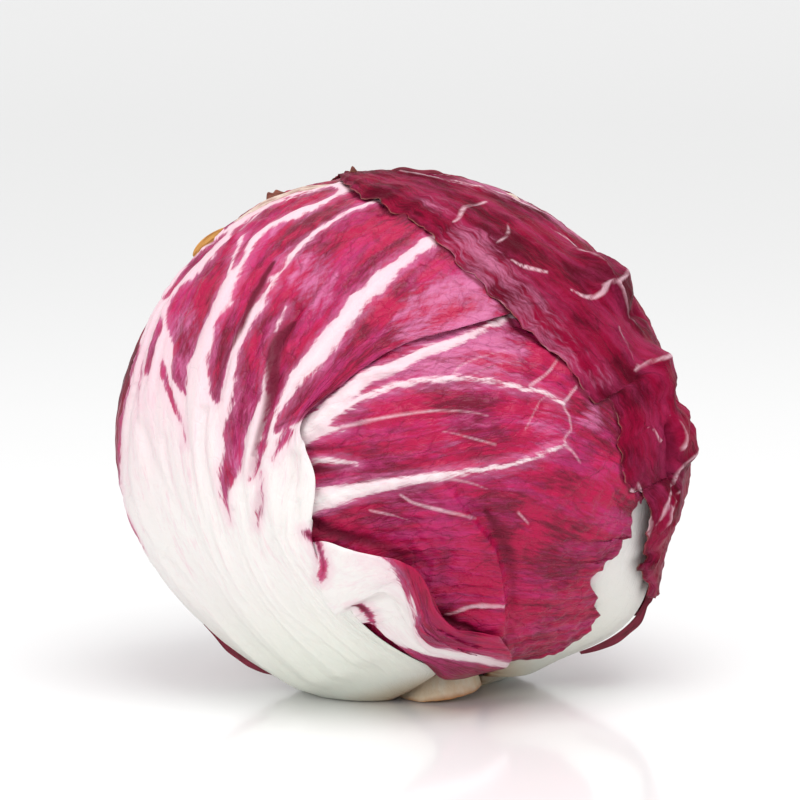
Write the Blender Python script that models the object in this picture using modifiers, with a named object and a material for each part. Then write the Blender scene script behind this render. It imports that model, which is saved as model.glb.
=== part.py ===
"""A head of round radicchio at rest on its base, leaf by leaf.

Every leaf is a sheet over guide lines that run from the stump to the leaf's far end. A guide line
is a short list of directions as seen from the middle of the head. The sheet lies on the head's
swollen oval body, lifted or sunk by ribs, folds and ruffles, and Solidify gives it its thickness.
"""

import math

import bmesh
import bpy
import numpy as np
from mathutils import Vector

# Sizes are in millimetres and angles in degrees, until a mesh is made in metres.
MM = 0.001

# Driving dimensions.
HALF_SIZE = np.array((60.3, 56.0, 54.5))  # half the head's width, depth and height
MIDDLE = np.array((0.46, -0.71, 52.2))  # of the body, over the surface: the box is centred on 0, 0
BLADE = 0.8  # thickness of a leaf
LAYER = 1.5  # from one leaf's outer face to that of the leaf under it
GAP = 0.7  # room that a soft edge of the flat underside takes
STEM_FOOT = np.array((6.2, -15.0, -52.2))  # middle of the cut stump, from the head's middle
STEM_RADIUS = 8.8
STEM_LENGTH = 8.5
STEM_SPARE = 6.0  # stem below the cut, sawn away
STEM_TAPER = 0.85
SAW_SIZE = 40.0
STUMP_SLOPE = (0.108, 0.085)  # rise of the cut face to the right and to the back
STUMP_CLEAR = 1.3  # height of the cut face's middle over the surface
COLLAR = 11.4  # degrees from the stem's axis to where the leaves start

# How the viewer of the front sees the head: from a little above, and near enough to see
# slightly less than half of it.
VIEW_RISE = 8.0
VIEW_NEARNESS = 3.84


def unit(vectors):
    vectors = np.asarray(vectors, float)
    return vectors / np.linalg.norm(vectors, axis=-1, keepdims=True)


def cosine(angle):
    return math.cos(math.radians(angle))


def sine(angle):
    return math.sin(math.radians(angle))


TO_VIEWER = np.array((0.0, -cosine(VIEW_RISE), sine(VIEW_RISE)))
TO_RIGHT = np.array((1.0, 0.0, 0.0))
TO_TOP = np.cross(TO_RIGHT, -TO_VIEWER)
TO_STEM = unit(STEM_FOOT / HALF_SIZE)
STEM_FRONT = unit(np.array((0.0, -1.0, 0.0)) + TO_STEM[1] * TO_STEM)
STEM_RIGHT = np.cross(STEM_FRONT, TO_STEM)


def front(right, up):
    """The direction that the viewer sees so many degrees right of and above the middle."""
    seen = math.hypot(right, up)
    away = seen - VIEW_NEARNESS * sine(seen)
    aside = (right * TO_RIGHT + up * TO_TOP) / seen
    return cosine(away) * TO_VIEWER + sine(away) * aside


def by_stem(away, turn):
    """The direction so many degrees away from the stem, on the side turned right from its front."""
    aside = cosine(turn) * STEM_FRONT + sine(turn) * STEM_RIGHT
    return cosine(away) * TO_STEM + sine(away) * aside


def seen(*places):
    """Directions from (right, up) pairs."""
    return [front(*place) for place in places]


def grown(*places):
    """Directions from (away, turn) pairs round the stem."""
    return [by_stem(*place) for place in places]


# Each bump or hollow in the tables below is a place, the degrees it spreads and its height.
# These are the swellings of the body, which every leaf follows.
SWELLINGS = (
    (front(-15, -82), 20, 3.1),  # white base of the outer leaf
    (front(-58, -68), 15, 0.6),
    (by_stem(9, 50), 14, -4.4),  # hollow that the stump stands out of
    (front(74, 52), 34, -4.2),  # slope of the upper right
    (front(88, 14), 17, -3.2),
    (front(82, -36), 12, -3.4),
    (front(66, -60), 15, 3.6),  # fullness at the lower right
    (front(-74, 52), 35, 1.8),  # shoulder at the upper left
    (front(-38, 82), 15, 0.9),
    (front(-92, -14), 28, 2.6),
)


def smooth_line(points, count):
    """Catmull-Rom curve through the points, read at `count` places evenly along its length."""
    points = np.asarray(points, float)
    ends = np.vstack([2 * points[0] - points[1], points, 2 * points[-1] - points[-2]])
    place = np.linspace(0, len(points) - 1 - 1e-9, 24 * len(points))
    span = place.astype(int)
    part = (place - span)[:, None]
    before, start, end, after = (ends[span + k] for k in range(4))
    line = start + 0.5 * (
        (end - before) * part
        + (2 * before - 5 * start + 4 * end - after) * part**2
        + (3 * start - before - 3 * end + after) * part**3
    )
    steps = np.linalg.norm(np.diff(line, axis=0), axis=1)
    length = np.concatenate([[0], np.cumsum(steps)])
    even = np.linspace(0, length[-1], count)
    return np.stack([np.interp(even, length, column) for column in line.T], axis=1)


def loft(guides, columns, rows):
    """Grid of directions (columns, rows) over guide lines, which follow each other to the right."""
    lines = np.array([smooth_line(guide, rows) for guide in guides])
    wide = smooth_line(lines.reshape(len(guides), -1), columns)
    grid = wide.reshape(columns, rows, -1)
    grid[..., :3] = unit(grid[..., :3])
    return grid


def angle_to(directions, place):
    return np.degrees(np.arccos(np.clip(directions @ place, -1, 1)))


def bump(directions, place, spread):
    """1 at the place, fading to 0 over about twice the spread."""
    return np.exp(-((angle_to(directions, place) / spread) ** 2))


def bumps(directions, table):
    """The height that bumps and hollows add up to, from a table of place, spread and height."""
    return sum(height * bump(directions, place, spread) for place, spread, height in table)


def along_line(directions, places):
    """For each direction: degrees to the line through the places, and how far along it, 0 to 1."""
    line = unit(smooth_line(places, 60))
    closeness = directions @ line.T
    nearest = closeness.argmax(axis=-1)
    away = np.degrees(np.arccos(np.clip(closeness.max(axis=-1), -1, 1)))
    return away, nearest / (len(line) - 1)


def right_of(directions, places):
    """Degrees right of a line that runs upwards; negative on its left."""
    line = unit(smooth_line(places, 60))
    nearest = (directions @ line.T).argmax(axis=-1)
    heading = np.gradient(line, axis=0)[nearest]
    across = unit(np.cross(heading, line[nearest]))
    return np.degrees(((directions - line[nearest]) * across).sum(axis=-1))


def step(value, start, end):
    """0 up to the start, 1 from the end on, smooth between."""
    part = np.clip((value - start) / (end - start), 0, 1)
    return part * part * (3 - 2 * part)


# The white ribs that stand out of the two front leaves, from root to end.
LEFT_RIBS = (
    seen((-30, -72), (-54, -50), (-68, -23), (-75, -1), (-76, 23), (-73, 39), (-58, 49), (-46, 68)),
    seen((-24, -66), (-36, -50), (-44, -25), (-48, -3), (-48, 16), (-45, 32), (-42, 46), (-36, 60)),
    seen((-18, -62), (-28, -45), (-37, -22), (-42, -1), (-40, 9), (-38, 21), (-33, 34), (-18, 55)),
    seen((-14, -58), (-24, -39), (-31, -14), (-31, -1), (-29, 18), (-22, 35), (-12, 48)),
    seen((-10, -56), (-20, -36), (-28, -12), (-27, 4), (-19, 18), (-6, 38), (3, 48)),
)
RIGHT_RIBS = (
    seen((-18, 5), (-13, 10), (-2, 17), (9, 20), (22, 27)),
    seen((-18, 4), (-8, 8), (4, 11), (18, 12), (33, 9)),
    seen((-22, -17), (-10, -12), (-2, -9), (14, -6), (31, -2)),
)
RIB_SPREAD = 3.0
RIB_HEIGHT = 1.4
RIB_TAPER = 0.65  # share of the height that is lost at the end

# Where the front left leaf's right edge rolls up, in degrees and millimetres.
POCKET_EDGE = seen((-20, -24), (-20, -16), (-19, -9), (-22, 2))
ROLL_SPREAD = 6
ROLL_HEIGHT = 1.4

# The front right leaf: it rises from under the left one between these degrees right of its edge.
RISE_FROM, RISE_TO = 2, 14
HOLLOWS = (
    (front(-12, -8), 8, -1.8),  # pocket beside the rolled edge
    (front(3, -26), 13, -2.8),  # dark hollow over the curled lobe
    (front(13, -38), 8, -2.0),
)

# Its pleat at the lower middle: high on the left of this line, low on the right.
PLEAT = seen((23, -58), (22, -48), (20, -37), (16, -25), (8, -17))
PLEAT_SPREAD = 9
PLEAT_HIGH, PLEAT_LOW = 1.6, -0.5
PLEAT_STEP = 1.5  # degrees from the line to the full height
PLEAT_FOOT = front(22, -56)  # where the pleat runs out

# The crown leaf where it shows at the right.
RUFFLES = (
    (front(60, 50), 8, 2.4),
    (front(64, 40), 5, -1.6),
    (front(68, 27), 8, 2.6),
    (front(66, 14), 6, -0.8),
    (front(82, 1), 9, 3.4),
    (front(66, -4), 5, -0.6),
    (front(76, -14), 8, 1.8),
)

# The crown leaf's ragged edge across the front, from the lower right to the top left.
CROWN_EDGE = seen(
    *((74, -52), (60, -34), (54, -20), (49, -10), (46, 3), (40, 10), (33, 17), (27, 23)),
    *((20, 30), (13, 38), (6, 45), (0, 51), (-8, 64), (-19, 82)),
)
EDGE_WAVES = 12
EDGE_WAVE_HEIGHT = 0.5
EDGE_WAVE_SPREAD = 5

# How far the right leaf's free margin turns out, and between which degrees right of its midrib.
MARGIN_RISE = 1.2
MARGIN_FROM, MARGIN_TO = 8, 22


def ridges(directions, ribs):
    """Rounded ridges on the ribs, lower towards their ends."""
    height = np.zeros(directions.shape[:-1])
    for rib in ribs:
        away, part = along_line(directions, rib)
        crest = RIB_HEIGHT * (1 - RIB_TAPER * part)
        height = np.maximum(height, crest * np.exp(-((away / RIB_SPREAD) ** 2)))
    return height


def left_lift(directions):
    """The front left leaf: ribs, and a right edge that rolls up over the pocket."""
    away, _ = along_line(directions, POCKET_EDGE)
    return ridges(directions, LEFT_RIBS) + ROLL_HEIGHT * np.exp(-((away / ROLL_SPREAD) ** 2))


def pleat_lift(directions):
    """A fold that stands up to the left of the pleat's line and drops to its right."""
    away, _ = along_line(directions, PLEAT)
    side = right_of(directions, PLEAT)
    height = np.where(side < 0, PLEAT_HIGH, PLEAT_LOW) * step(np.abs(side), 0, PLEAT_STEP)
    fading = 1 - bump(directions, PLEAT_FOOT, PLEAT_SPREAD)
    return height * fading * np.exp(-((away / PLEAT_SPREAD) ** 2))


def right_lift(directions):
    """The front right leaf: under the left one beside it, level with it further right."""
    under = step(right_of(directions, LEFT_LEAF[-1]), RISE_FROM, RISE_TO) - 1
    shape = ridges(directions, RIGHT_RIBS) + bumps(directions, HOLLOWS)
    return LAYER * under + shape + pleat_lift(directions)


def crown_lift(directions):
    """The crown leaf: over both front leaves and their ribs, with ruffles at the right."""
    under = ridges(directions, LEFT_RIBS + RIGHT_RIBS)
    away, part = along_line(directions, CROWN_EDGE)
    wave = np.sin(part * EDGE_WAVES * math.tau) * np.exp(-((away / EDGE_WAVE_SPREAD) ** 2))
    return LAYER + under + bumps(directions, RUFFLES) + EDGE_WAVE_HEIGHT * wave


def side_lift(directions):
    """The right leaf: one layer down, but its free right margin turns out."""
    beside = right_of(directions, SIDE_LEAF[1])
    return MARGIN_RISE * step(beside, MARGIN_FROM, MARGIN_TO) - LAYER


def under_lift(layers):
    """A plain leaf, so many layers under the front left one."""
    return lambda directions: np.full(directions.shape[:-1], -LAYER * layers)


def level_off(height, floor):
    """The greater of height and floor, with a rounded change between the two."""
    mix = np.clip(0.5 + 0.5 * (height - floor) / GAP, 0, 1)
    return floor + (height - floor) * mix + GAP * mix * (1 - mix)


def place_on_head(directions, lift, floor):
    """Points so far over the body; none is lower than the floor."""
    out = lift + bumps(directions, SWELLINGS)
    points = directions * (HALF_SIZE + out[..., None])
    points[..., 2] = level_off(points[..., 2], floor - MIDDLE[2])
    return points + MIDDLE


def wavy(places, reach, waves):
    """The line through the places, swung to both sides by two unlike waves, up to `reach` degrees."""
    line = unit(smooth_line(places, 120))
    part = np.linspace(0, 1, len(line))
    across = unit(np.cross(np.gradient(line, axis=0), line))
    swing = 0.6 * np.sin(waves * math.tau * part) + 0.4 * np.sin(1.7 * waves * math.tau * part + 1)
    swing = swing * step(part, 0, 0.15) * step(1 - part, 0, 0.1)
    return line + across * np.radians(reach * swing)[:, None]


# Guide lines, left to right.
LEFT_LEAF = (
    wavy(
        grown((COLLAR, -112))
        + seen((-34, -86), (-66, -56), (-78, -16), (-78, 12), (-74, 42), (-54, 76), (-26, 100)),
        1.0,
        9,
    ),
    grown((COLLAR, -84))
    + seen((-28, -74), (-48, -46), (-59, -14), (-62, 12), (-58, 40), (-42, 68), (-18, 94)),
    grown((COLLAR, -62))
    + seen((-21, -66), (-38, -42), (-46, -15), (-47, 10), (-43, 36), (-30, 62), (-6, 86)),
    grown((COLLAR, -44))
    + seen((-14, -60), (-31, -40), (-38, -18), (-39, 4), (-34, 28), (-20, 51), (3, 72)),
    grown((COLLAR, -28))
    + seen((-5, -59), (-21, -38), (-29, -20), (-27, -2), (-17, 18), (-2, 38), (14, 55)),
    grown((COLLAR, -30))
    + seen((7, -67), (4, -61), (-8, -49), (-14, -40), (-20, -24), (-19, -9), (-22, 3))
    + seen((-14, 12), (-2, 21), (12, 26), (24, 31), (34, 38)),
)
RIGHT_LEAF = (
    seen((-24, 18), (-6, 30), (16, 34), (38, 28), (54, 14)),
    seen((-28, 8), (-6, 14), (16, 16), (38, 10), (56, -4)),
    seen((-30, -8), (-2, -4), (24, 0), (44, -6), (55, -18)),
    seen((-28, -26), (-5, -20), (20, -18), (38, -24), (48, -24)),
    seen((-22, -48), (0, -36), (20, -34), (41, -35)),
    grown((COLLAR + 2, -34)) + seen((0, -52), (20, -48), (36, -46), (44, -44)),
    grown((COLLAR, -14), (COLLAR, 18)) + seen((24, -63), (32, -58), (42, -57), (49, -52)),
)
CROWN_LEAF = (
    wavy(grown((COLLAR, 128), (30, 124), (42, 111)) + CROWN_EDGE + grown((172, -60)), 0.9, EDGE_WAVES),
    grown((COLLAR, 138), (45, 122), (80, 94), (115, 74), (150, 55), (174, 10), (170, -85)),
    grown((COLLAR, 150), (45, 138), (80, 126), (115, 120), (150, 115), (176, 130), (168, -110)),
    grown((COLLAR, 168), (45, 164), (80, 162), (115, 160), (145, 165), (166, 200), (160, 240)),
    wavy(grown((COLLAR, 186), (45, 186), (80, 190), (115, 194), (140, 204), (154, 222)), 1.6, 8),
)
SIDE_LEAF = (
    grown((COLLAR, 28), (40, 38), (70, 40), (94, 42)),
    grown((COLLAR, 70), (40, 74), (70, 70), (100, 66)),
    wavy(grown((COLLAR, 128), (24, 127), (36, 119), (44, 108), (70, 96), (94, 92)), 1.6, 5),
)
OUTLINE_LEAF = (
    wavy(grown((COLLAR, -162), (40, -150), (80, -142), (120, -138), (162, -136)), 1.8, 7),
    grown((COLLAR, -130), (40, -114), (80, -102), (120, -100), (164, -104)),
    grown((COLLAR, -96), (40, -82), (80, -62), (120, -62), (158, -72)),
)
BACK_LEAF = (
    grown((COLLAR, 160), (40, 166), (80, 172), (120, 174), (165, 140)),
    grown((COLLAR, 192), (40, 194), (80, 196), (120, 200), (160, 204), (166, 0)),
    grown((COLLAR, 224), (40, 230), (80, 236), (120, 244), (150, 268), (168, 320)),
)

# The curled lobe of the front left leaf, from its root to its far end: right, up, lift.
LOBE = (
    ((-24, -23, -0.4), (-12, -22, -0.3), (0, -24, -0.6), (9, -31, -0.4), (14, -42, 0.3), (21, -47, 1.8)),
    ((-24, -25, -0.5), (-12, -26, 1.6), (-2, -29, 3.0), (5, -36, 3.4), (9, -46, 3.2), (22, -51, 3.2)),
    ((-22, -34, -0.5), (-13, -34, 1.2), (-4, -35, 2.2), (1, -41, 2.2), (7, -53, 2.6), (23, -58, 3.0)),
    ((-20, -42, -0.5), (-11, -44, 0.4), (-4, -51, 0.8), (3, -58, 1.2), (10, -65, 1.2), (21, -64, 1.2)),
)

# The leaves inside: each covers the heart from the stump to its far end, and most of the way round.
INNER_LEAVES = 4
INNER_DEPTH = 5.6  # of the outermost inner leaf's outer face
INNER_LAYER = 1.9
INNER_TURN = 137.5  # from one to the next, as leaves grow
INNER_FIRST = 30
INNER_SIDES = (-100, -50, 0, 50, 100)
INNER_TOP = 166  # degrees from the stem to the end of the midrib
INNER_TOP_LOSS = 0.16  # of that for each degree to the side

HEART_DEPTH = 14.4
HEART_SEGMENTS, HEART_RINGS = 24, 16
HEART_FOLD = 0.9  # height of the young leaves' edges, which wind up round the heart
HEART_FOLDS = 3
HEART_LEAN = 0.8  # turns of that winding from the middle to the top

RIM_ROUNDING = 0.6


def new_collection(name):
    collection = bpy.data.collections.new(name)
    bpy.context.scene.collection.children.link(collection)
    return collection


def material(name, colour, roughness):
    made = bpy.data.materials.new(name)
    made.use_nodes = True
    shader = made.node_tree.nodes["Principled BSDF"]
    shader.inputs["Base Color"].default_value = (*colour, 1)
    shader.inputs["Roughness"].default_value = roughness
    made.diffuse_color = (*colour, 1)
    return made


def add_object(name, mesh, finish, collection, parent):
    made = bpy.data.objects.new(name, mesh)
    made.data.materials.append(finish)
    made.parent = parent
    collection.objects.link(made)
    return made


def sheet_mesh(name, points):
    """A square grid, moved point by point to the (columns, rows) points given in millimetres."""
    columns, rows, _ = points.shape
    shape = bmesh.new()
    bmesh.ops.create_grid(shape, x_segments=columns - 1, y_segments=rows - 1, size=1)
    for vertex in shape.verts:
        column = round((vertex.co.x + 1) / 2 * (columns - 1))
        row = round((vertex.co.y + 1) / 2 * (rows - 1))
        vertex.co = points[column, row] * MM
    mesh = bpy.data.meshes.new(name)
    shape.to_mesh(mesh)
    shape.free()
    return mesh


def thicken(sheet):
    """Split the sheet into triangles first, so that both faces are split alike."""
    split = sheet.modifiers.new("triangles", "TRIANGULATE")
    split.quad_method = "SHORTEST_DIAGONAL"
    wall = sheet.modifiers.new("blade", "SOLIDIFY")
    wall.thickness = BLADE * MM
    wall.offset = -1


def leaf(name, guides, lift, size, floor, finish, collection, parent):
    """A leaf of one blade, over its guide lines. Size is its columns and rows of points."""
    directions = loft(guides, *size)
    points = place_on_head(directions, lift(directions), floor)
    made = add_object(name, sheet_mesh(name, points), finish, collection, parent)
    thicken(made)
    return made


def make_helper(made):
    """Keep an object that only shapes another one out of the render."""
    made.hide_render = True
    made.display_type = "WIRE"


def lobe(size, finish, collection, parent):
    """The lobe's own sheet, whose root lies in the blade of the leaf that it is joined to."""
    guides = [[(*front(right, up), lift) for right, up, lift in guide] for guide in LOBE]
    grid = loft(guides, *size)
    points = place_on_head(grid[..., :3], grid[..., 3], 0)
    made = add_object("lobe", sheet_mesh("lobe", points), finish, collection, parent)
    thicken(made)
    make_helper(made)
    return made


def join(whole, piece):
    union = whole.modifiers.new("join_" + piece.name, "BOOLEAN")
    union.operation = "UNION"
    union.object = piece


def inner_guides(index):
    """Lines from the stump up, side by side round the stem; the middle one is the longest."""
    middle = INNER_FIRST + index * INNER_TURN
    guides = []
    for side in INNER_SIDES:
        stations = np.linspace(COLLAR + 1, INNER_TOP - INNER_TOP_LOSS * abs(side), 5)
        guides.append([by_stem(away, middle + side) for away in stations])
    return guides


def heart(finish, collection, parent):
    """A round core whose outside shows the edges of the young leaves wrapped on it."""
    shape = bmesh.new()
    bmesh.ops.create_uvsphere(shape, u_segments=HEART_SEGMENTS, v_segments=HEART_RINGS, radius=1)
    directions = unit([vertex.co for vertex in shape.verts])
    turn = np.arctan2(directions[:, 1], directions[:, 0]) / math.tau
    winding = (turn * HEART_FOLDS + directions[:, 2] * HEART_LEAN) % 1
    points = place_on_head(directions, HEART_FOLD * winding - HEART_DEPTH, HEART_DEPTH)
    for vertex, point in zip(shape.verts, points):
        vertex.co = point * MM
    bmesh.ops.triangulate(shape, faces=shape.faces)
    mesh = bpy.data.meshes.new("heart")
    shape.to_mesh(mesh)
    shape.free()
    return add_object("heart", mesh, finish, collection, parent)


def saw(parent, finish, cutters):
    """A block whose top face is the stem's cut, just over the surface that the head rests on."""
    slope = Vector((-STUMP_SLOPE[0], -STUMP_SLOPE[1], 1)).normalized()
    middle = Vector((STEM_FOOT[0], STEM_FOOT[1], STUMP_CLEAR))
    shape = bmesh.new()
    bmesh.ops.create_cube(shape, size=SAW_SIZE * MM)
    mesh = bpy.data.meshes.new("saw")
    shape.to_mesh(mesh)
    shape.free()
    made = add_object("saw", mesh, finish, cutters, parent)
    made.location = (middle - slope * SAW_SIZE / 2) * MM
    made.rotation_euler = slope.to_track_quat("Z", "Y").to_euler()
    make_helper(made)
    return made


def stem(finish, collection, cutters, parent):
    """A short cone up from the stump, sawn off almost level, its rim worn round."""
    axis = -unit(STEM_FOOT)
    length = STEM_LENGTH + STEM_SPARE
    shape = bmesh.new()
    bmesh.ops.create_cone(
        shape,
        cap_ends=True,
        segments=28,
        radius1=STEM_RADIUS * MM,
        radius2=STEM_RADIUS * STEM_TAPER * MM,
        depth=length * MM,
    )
    mesh = bpy.data.meshes.new("stem")
    shape.to_mesh(mesh)
    shape.free()
    made = add_object("stem", mesh, finish, collection, parent)
    made.rotation_euler = Vector(axis).to_track_quat("Z", "Y").to_euler()
    made.location = (MIDDLE + STEM_FOOT + axis * (length / 2 - STEM_SPARE)) * MM
    cut = made.modifiers.new("sawn_end", "BOOLEAN")
    cut.operation = "DIFFERENCE"
    cut.object = saw(parent, finish, cutters)
    rim = made.modifiers.new("worn_rim", "BEVEL")
    rim.width = RIM_ROUNDING * MM
    rim.segments = 2
    rim.limit_method = "ANGLE"
    return made


def build():
    for existing in list(bpy.data.objects):
        bpy.data.objects.remove(existing)
    head = new_collection("radicchio")
    helpers = new_collection("radicchio_helpers")
    base = bpy.data.objects.new("radicchio_head", None)
    head.objects.link(base)

    red = material("red_blade", (0.36, 0.015, 0.09), 0.38)
    white = material("white_rib", (0.85, 0.82, 0.77), 0.42)
    pale = material("pale_inner_leaf", (0.62, 0.16, 0.28), 0.45)
    tan = material("cut_stump", (0.66, 0.47, 0.26), 0.7)

    # The pairs of numbers are the columns and rows of points of each sheet.
    left = leaf("leaf_front_left", LEFT_LEAF, left_lift, (26, 32), 0, white, head, base)
    join(left, lobe((9, 13), white, helpers, base))
    leaf("leaf_front_right", RIGHT_LEAF, right_lift, (27, 27), LAYER, red, head, base)
    leaf("leaf_crown", CROWN_LEAF, crown_lift, (24, 37), 0, red, head, base)
    leaf("leaf_right", SIDE_LEAF, side_lift, (11, 18), 2 * LAYER, white, head, base)
    leaf("leaf_left", OUTLINE_LEAF, under_lift(1), (11, 20), LAYER, red, head, base)
    leaf("leaf_back", BACK_LEAF, under_lift(2), (11, 20), 2 * LAYER, red, head, base)
    for index in range(INNER_LEAVES):
        depth = INNER_DEPTH + index * INNER_LAYER
        lift = under_lift(depth / LAYER)
        name = f"inner_leaf_{index + 1}"
        leaf(name, inner_guides(index), lift, (16, 13), depth, pale, head, base)
    heart(pale, head, base)
    stem(tan, head, helpers, base)


build()
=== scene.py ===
# %% [markdown]
# # A head of round radicchio, leaf by leaf
#
# A head of radicchio is a ball of leaves. Each leaf grows from the cut stump underneath, where it
# is thick and white, and wraps over the ones before it. Ribs fan out from its base, and the thin
# crimson blade between them is puffed up by its net of veins.
#
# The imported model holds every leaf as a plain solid. Here each one is laid again as a fine sheet
# on the same lines, so it keeps the place and form of its solid, and gets its ribs, creases,
# ragged margins and colours.

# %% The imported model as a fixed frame
import math

import bpy
import numpy as np
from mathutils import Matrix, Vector


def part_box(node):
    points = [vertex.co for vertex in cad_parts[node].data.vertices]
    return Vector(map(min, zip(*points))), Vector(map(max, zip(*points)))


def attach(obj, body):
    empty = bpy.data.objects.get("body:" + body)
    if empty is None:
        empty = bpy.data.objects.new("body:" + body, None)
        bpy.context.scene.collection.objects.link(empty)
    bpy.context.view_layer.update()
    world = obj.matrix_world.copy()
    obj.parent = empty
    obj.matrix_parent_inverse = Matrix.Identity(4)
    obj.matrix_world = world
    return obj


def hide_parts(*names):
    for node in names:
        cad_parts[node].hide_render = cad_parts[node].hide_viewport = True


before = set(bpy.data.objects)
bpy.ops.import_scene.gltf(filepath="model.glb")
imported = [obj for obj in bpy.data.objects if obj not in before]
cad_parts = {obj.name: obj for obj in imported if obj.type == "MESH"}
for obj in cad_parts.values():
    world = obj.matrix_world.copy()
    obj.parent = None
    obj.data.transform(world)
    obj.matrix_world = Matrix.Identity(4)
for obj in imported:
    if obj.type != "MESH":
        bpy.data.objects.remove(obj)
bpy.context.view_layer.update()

for node in sorted(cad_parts):
    low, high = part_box(node)
    print(node, "mm:", [round(1000 * (b - a), 1) for a, b in zip(low, high)])

# %% [markdown]
# ## The body and its directions
#
# All leaves lie on one swollen oval body. A place on it is a direction from its middle, a unit
# vector. Two charts name directions in degrees: `front(right, up)` as the viewer of the photo sees
# them, and `by_stem(away, turn)` as they lie round the stump. A point is the direction times the
# body's half size plus a height, so a fold is only a change of height.

# %% Sizes and charts, in millimetres and degrees
MM = 0.001  # a millimetre in metres
HALF_SIZE = np.array((60.3, 56.0, 54.5))
MIDDLE = np.array((0.46, -0.71, 52.2))
LAYER = 1.5  # from one outer leaf to the next
SOFT_EDGE = 0.7  # rounding where a leaf meets the table
COLLAR = 11.4  # where the leaves grow from the stem, in degrees from its middle
STEM_FOOT = np.array((6.2, -15.0, -52.2))  # from the body's middle
VIEW_RISE = 8.0  # the photo looks down by so many degrees
VIEW_NEARNESS = 3.84  # degrees that a near viewer sees less of each side


def unit(vectors):
    """Each vector divided by its own length."""
    vectors = np.asarray(vectors, float)
    return vectors / np.linalg.norm(vectors, axis=-1, keepdims=True)


def cosine(angle):
    return math.cos(math.radians(angle))


def sine(angle):
    return math.sin(math.radians(angle))


TO_VIEWER = np.array((0.0, -cosine(VIEW_RISE), sine(VIEW_RISE)))
TO_RIGHT = np.array((1.0, 0.0, 0.0))
TO_TOP = np.cross(TO_RIGHT, -TO_VIEWER)
TO_STEM = unit(STEM_FOOT / HALF_SIZE)
STEM_FRONT = unit(np.array((0.0, -1.0, 0.0)) + TO_STEM[1] * TO_STEM)
STEM_RIGHT = np.cross(STEM_FRONT, TO_STEM)


def front(right, up):
    """The direction seen so many degrees right of and above the middle. A near viewer sees a
    little less than half of the body, so the angle is reduced by a part of its own sine."""
    seen_angle = math.hypot(right, up)
    away = seen_angle - VIEW_NEARNESS * sine(seen_angle)
    aside = (right * TO_RIGHT + up * TO_TOP) / seen_angle
    return cosine(away) * TO_VIEWER + sine(away) * aside


def by_stem(away, turn):
    """The direction so many degrees from the stem, on the side turned right from its front."""
    aside = cosine(turn) * STEM_FRONT + sine(turn) * STEM_RIGHT
    return cosine(away) * TO_STEM + sine(away) * aside


def seen(*degrees):
    """Directions of a row of right,up pairs."""
    return [front(*pair) for pair in zip(degrees[::2], degrees[1::2])]


def grown(*degrees):
    """Directions of a row of away,turn pairs."""
    return [by_stem(*pair) for pair in zip(degrees[::2], degrees[1::2])]


def spots(*numbers):
    """A table of place, spread and height from a row of right,up,spread,height."""
    return [(front(right, up), *shape) for right, up, *shape in np.reshape(numbers, (-1, 4))]


# %% [markdown]
# ## Lines and sheets of directions
#
# A leaf follows its ribs, so its sheet is lofted over guide lines that run from the stump to its
# far end. Both ways the loft is a Catmull-Rom curve, which passes through every point it is given.

# %% Smooth lines, lofts, distances and noise, all as whole arrays
SAMPLES_PER_POINT = 24
LINE_DOTS, EDGE_DOTS, FRAY_DOTS = 60, 300, 500
PULL_START = 0.75  # where columns start to bend towards a traced end
FRAY_WAVE = 0.05  # longest fine wave of a frayed line, as a share of its length
FRAY_OCTAVES = 4


def smooth_line(points, count, lean=1.0):
    """Catmull-Rom curve through the points: on each span the two ends, plus cubic terms from the
    points before and after. It is read at `count` places, at t^lean of its length, t from 0 to 1."""
    points = np.asarray(points, float)
    ends = np.vstack([2 * points[0] - points[1], points, 2 * points[-1] - points[-2]])
    place = np.linspace(0, len(points) - 1 - 1e-9, SAMPLES_PER_POINT * len(points))
    span = place.astype(int)
    part = (place - span)[:, None]
    before, start, end, after = (ends[span + k] for k in range(4))
    line = start + 0.5 * (
        (end - before) * part
        + (2 * before - 5 * start + 4 * end - after) * part**2
        + (3 * start - before - 3 * end + after) * part**3
    )
    return spread_on(line, np.linspace(0, 1, count) ** lean)


def lengths_along(line):
    """How far along the line each of its points is."""
    return np.concatenate([[0], np.cumsum(np.linalg.norm(np.diff(line, axis=0), axis=1))])


def spread_on(line, shares):
    """Points on a line at these shares of its length."""
    length = lengths_along(line)
    return np.stack([np.interp(length[-1] * shares, length, column) for column in line.T], axis=1)


def loft(guides, columns, rows, lean=1.0):
    """Grid (columns, rows) over guide lines: each guide read at the rows, then each row read
    across the guides. The first three numbers of a grid point are its direction."""
    lines = np.array([smooth_line(guide, rows) for guide in guides])
    wide = smooth_line(lines.reshape(len(guides), -1), columns, lean)
    grid = wide.reshape(columns, rows, -1)
    grid[..., :3] = unit(grid[..., :3])
    return grid


def end_on(directions, line, first):
    """Draw the far ends of the columns from `first` on to a traced line, corners and all:
    direction + pull * step(way along the column, 0.75, 1)."""
    wanted = spread_on(np.array(line), np.linspace(0, 1, len(directions) - first))
    pull = wanted - directions[first:, -1]
    share = step(np.linspace(0, 1, directions.shape[1]), PULL_START, 1)
    drawn = directions.copy()
    drawn[first:] += share[None, :, None] * pull[:, None]
    return unit(drawn)


def degrees_of(cosines):
    """Angles in degrees from their cosines."""
    return np.degrees(np.arccos(np.clip(cosines, -1, 1)))


def degrees_from(place, directions):
    """Angle between a place and each direction."""
    return degrees_of(directions @ place)


def nearest_on(directions, places):
    """Degrees to the line through the places, and degrees right of it if it runs upwards."""
    line = unit(smooth_line(places, LINE_DOTS))
    closeness = directions @ line.T
    nearest = closeness.argmax(axis=-1)
    across = unit(np.cross(np.gradient(line, axis=0)[nearest], line[nearest]))
    side = np.degrees(((directions - line[nearest]) * across).sum(axis=-1))
    return degrees_of(closeness.max(axis=-1)), side


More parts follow.
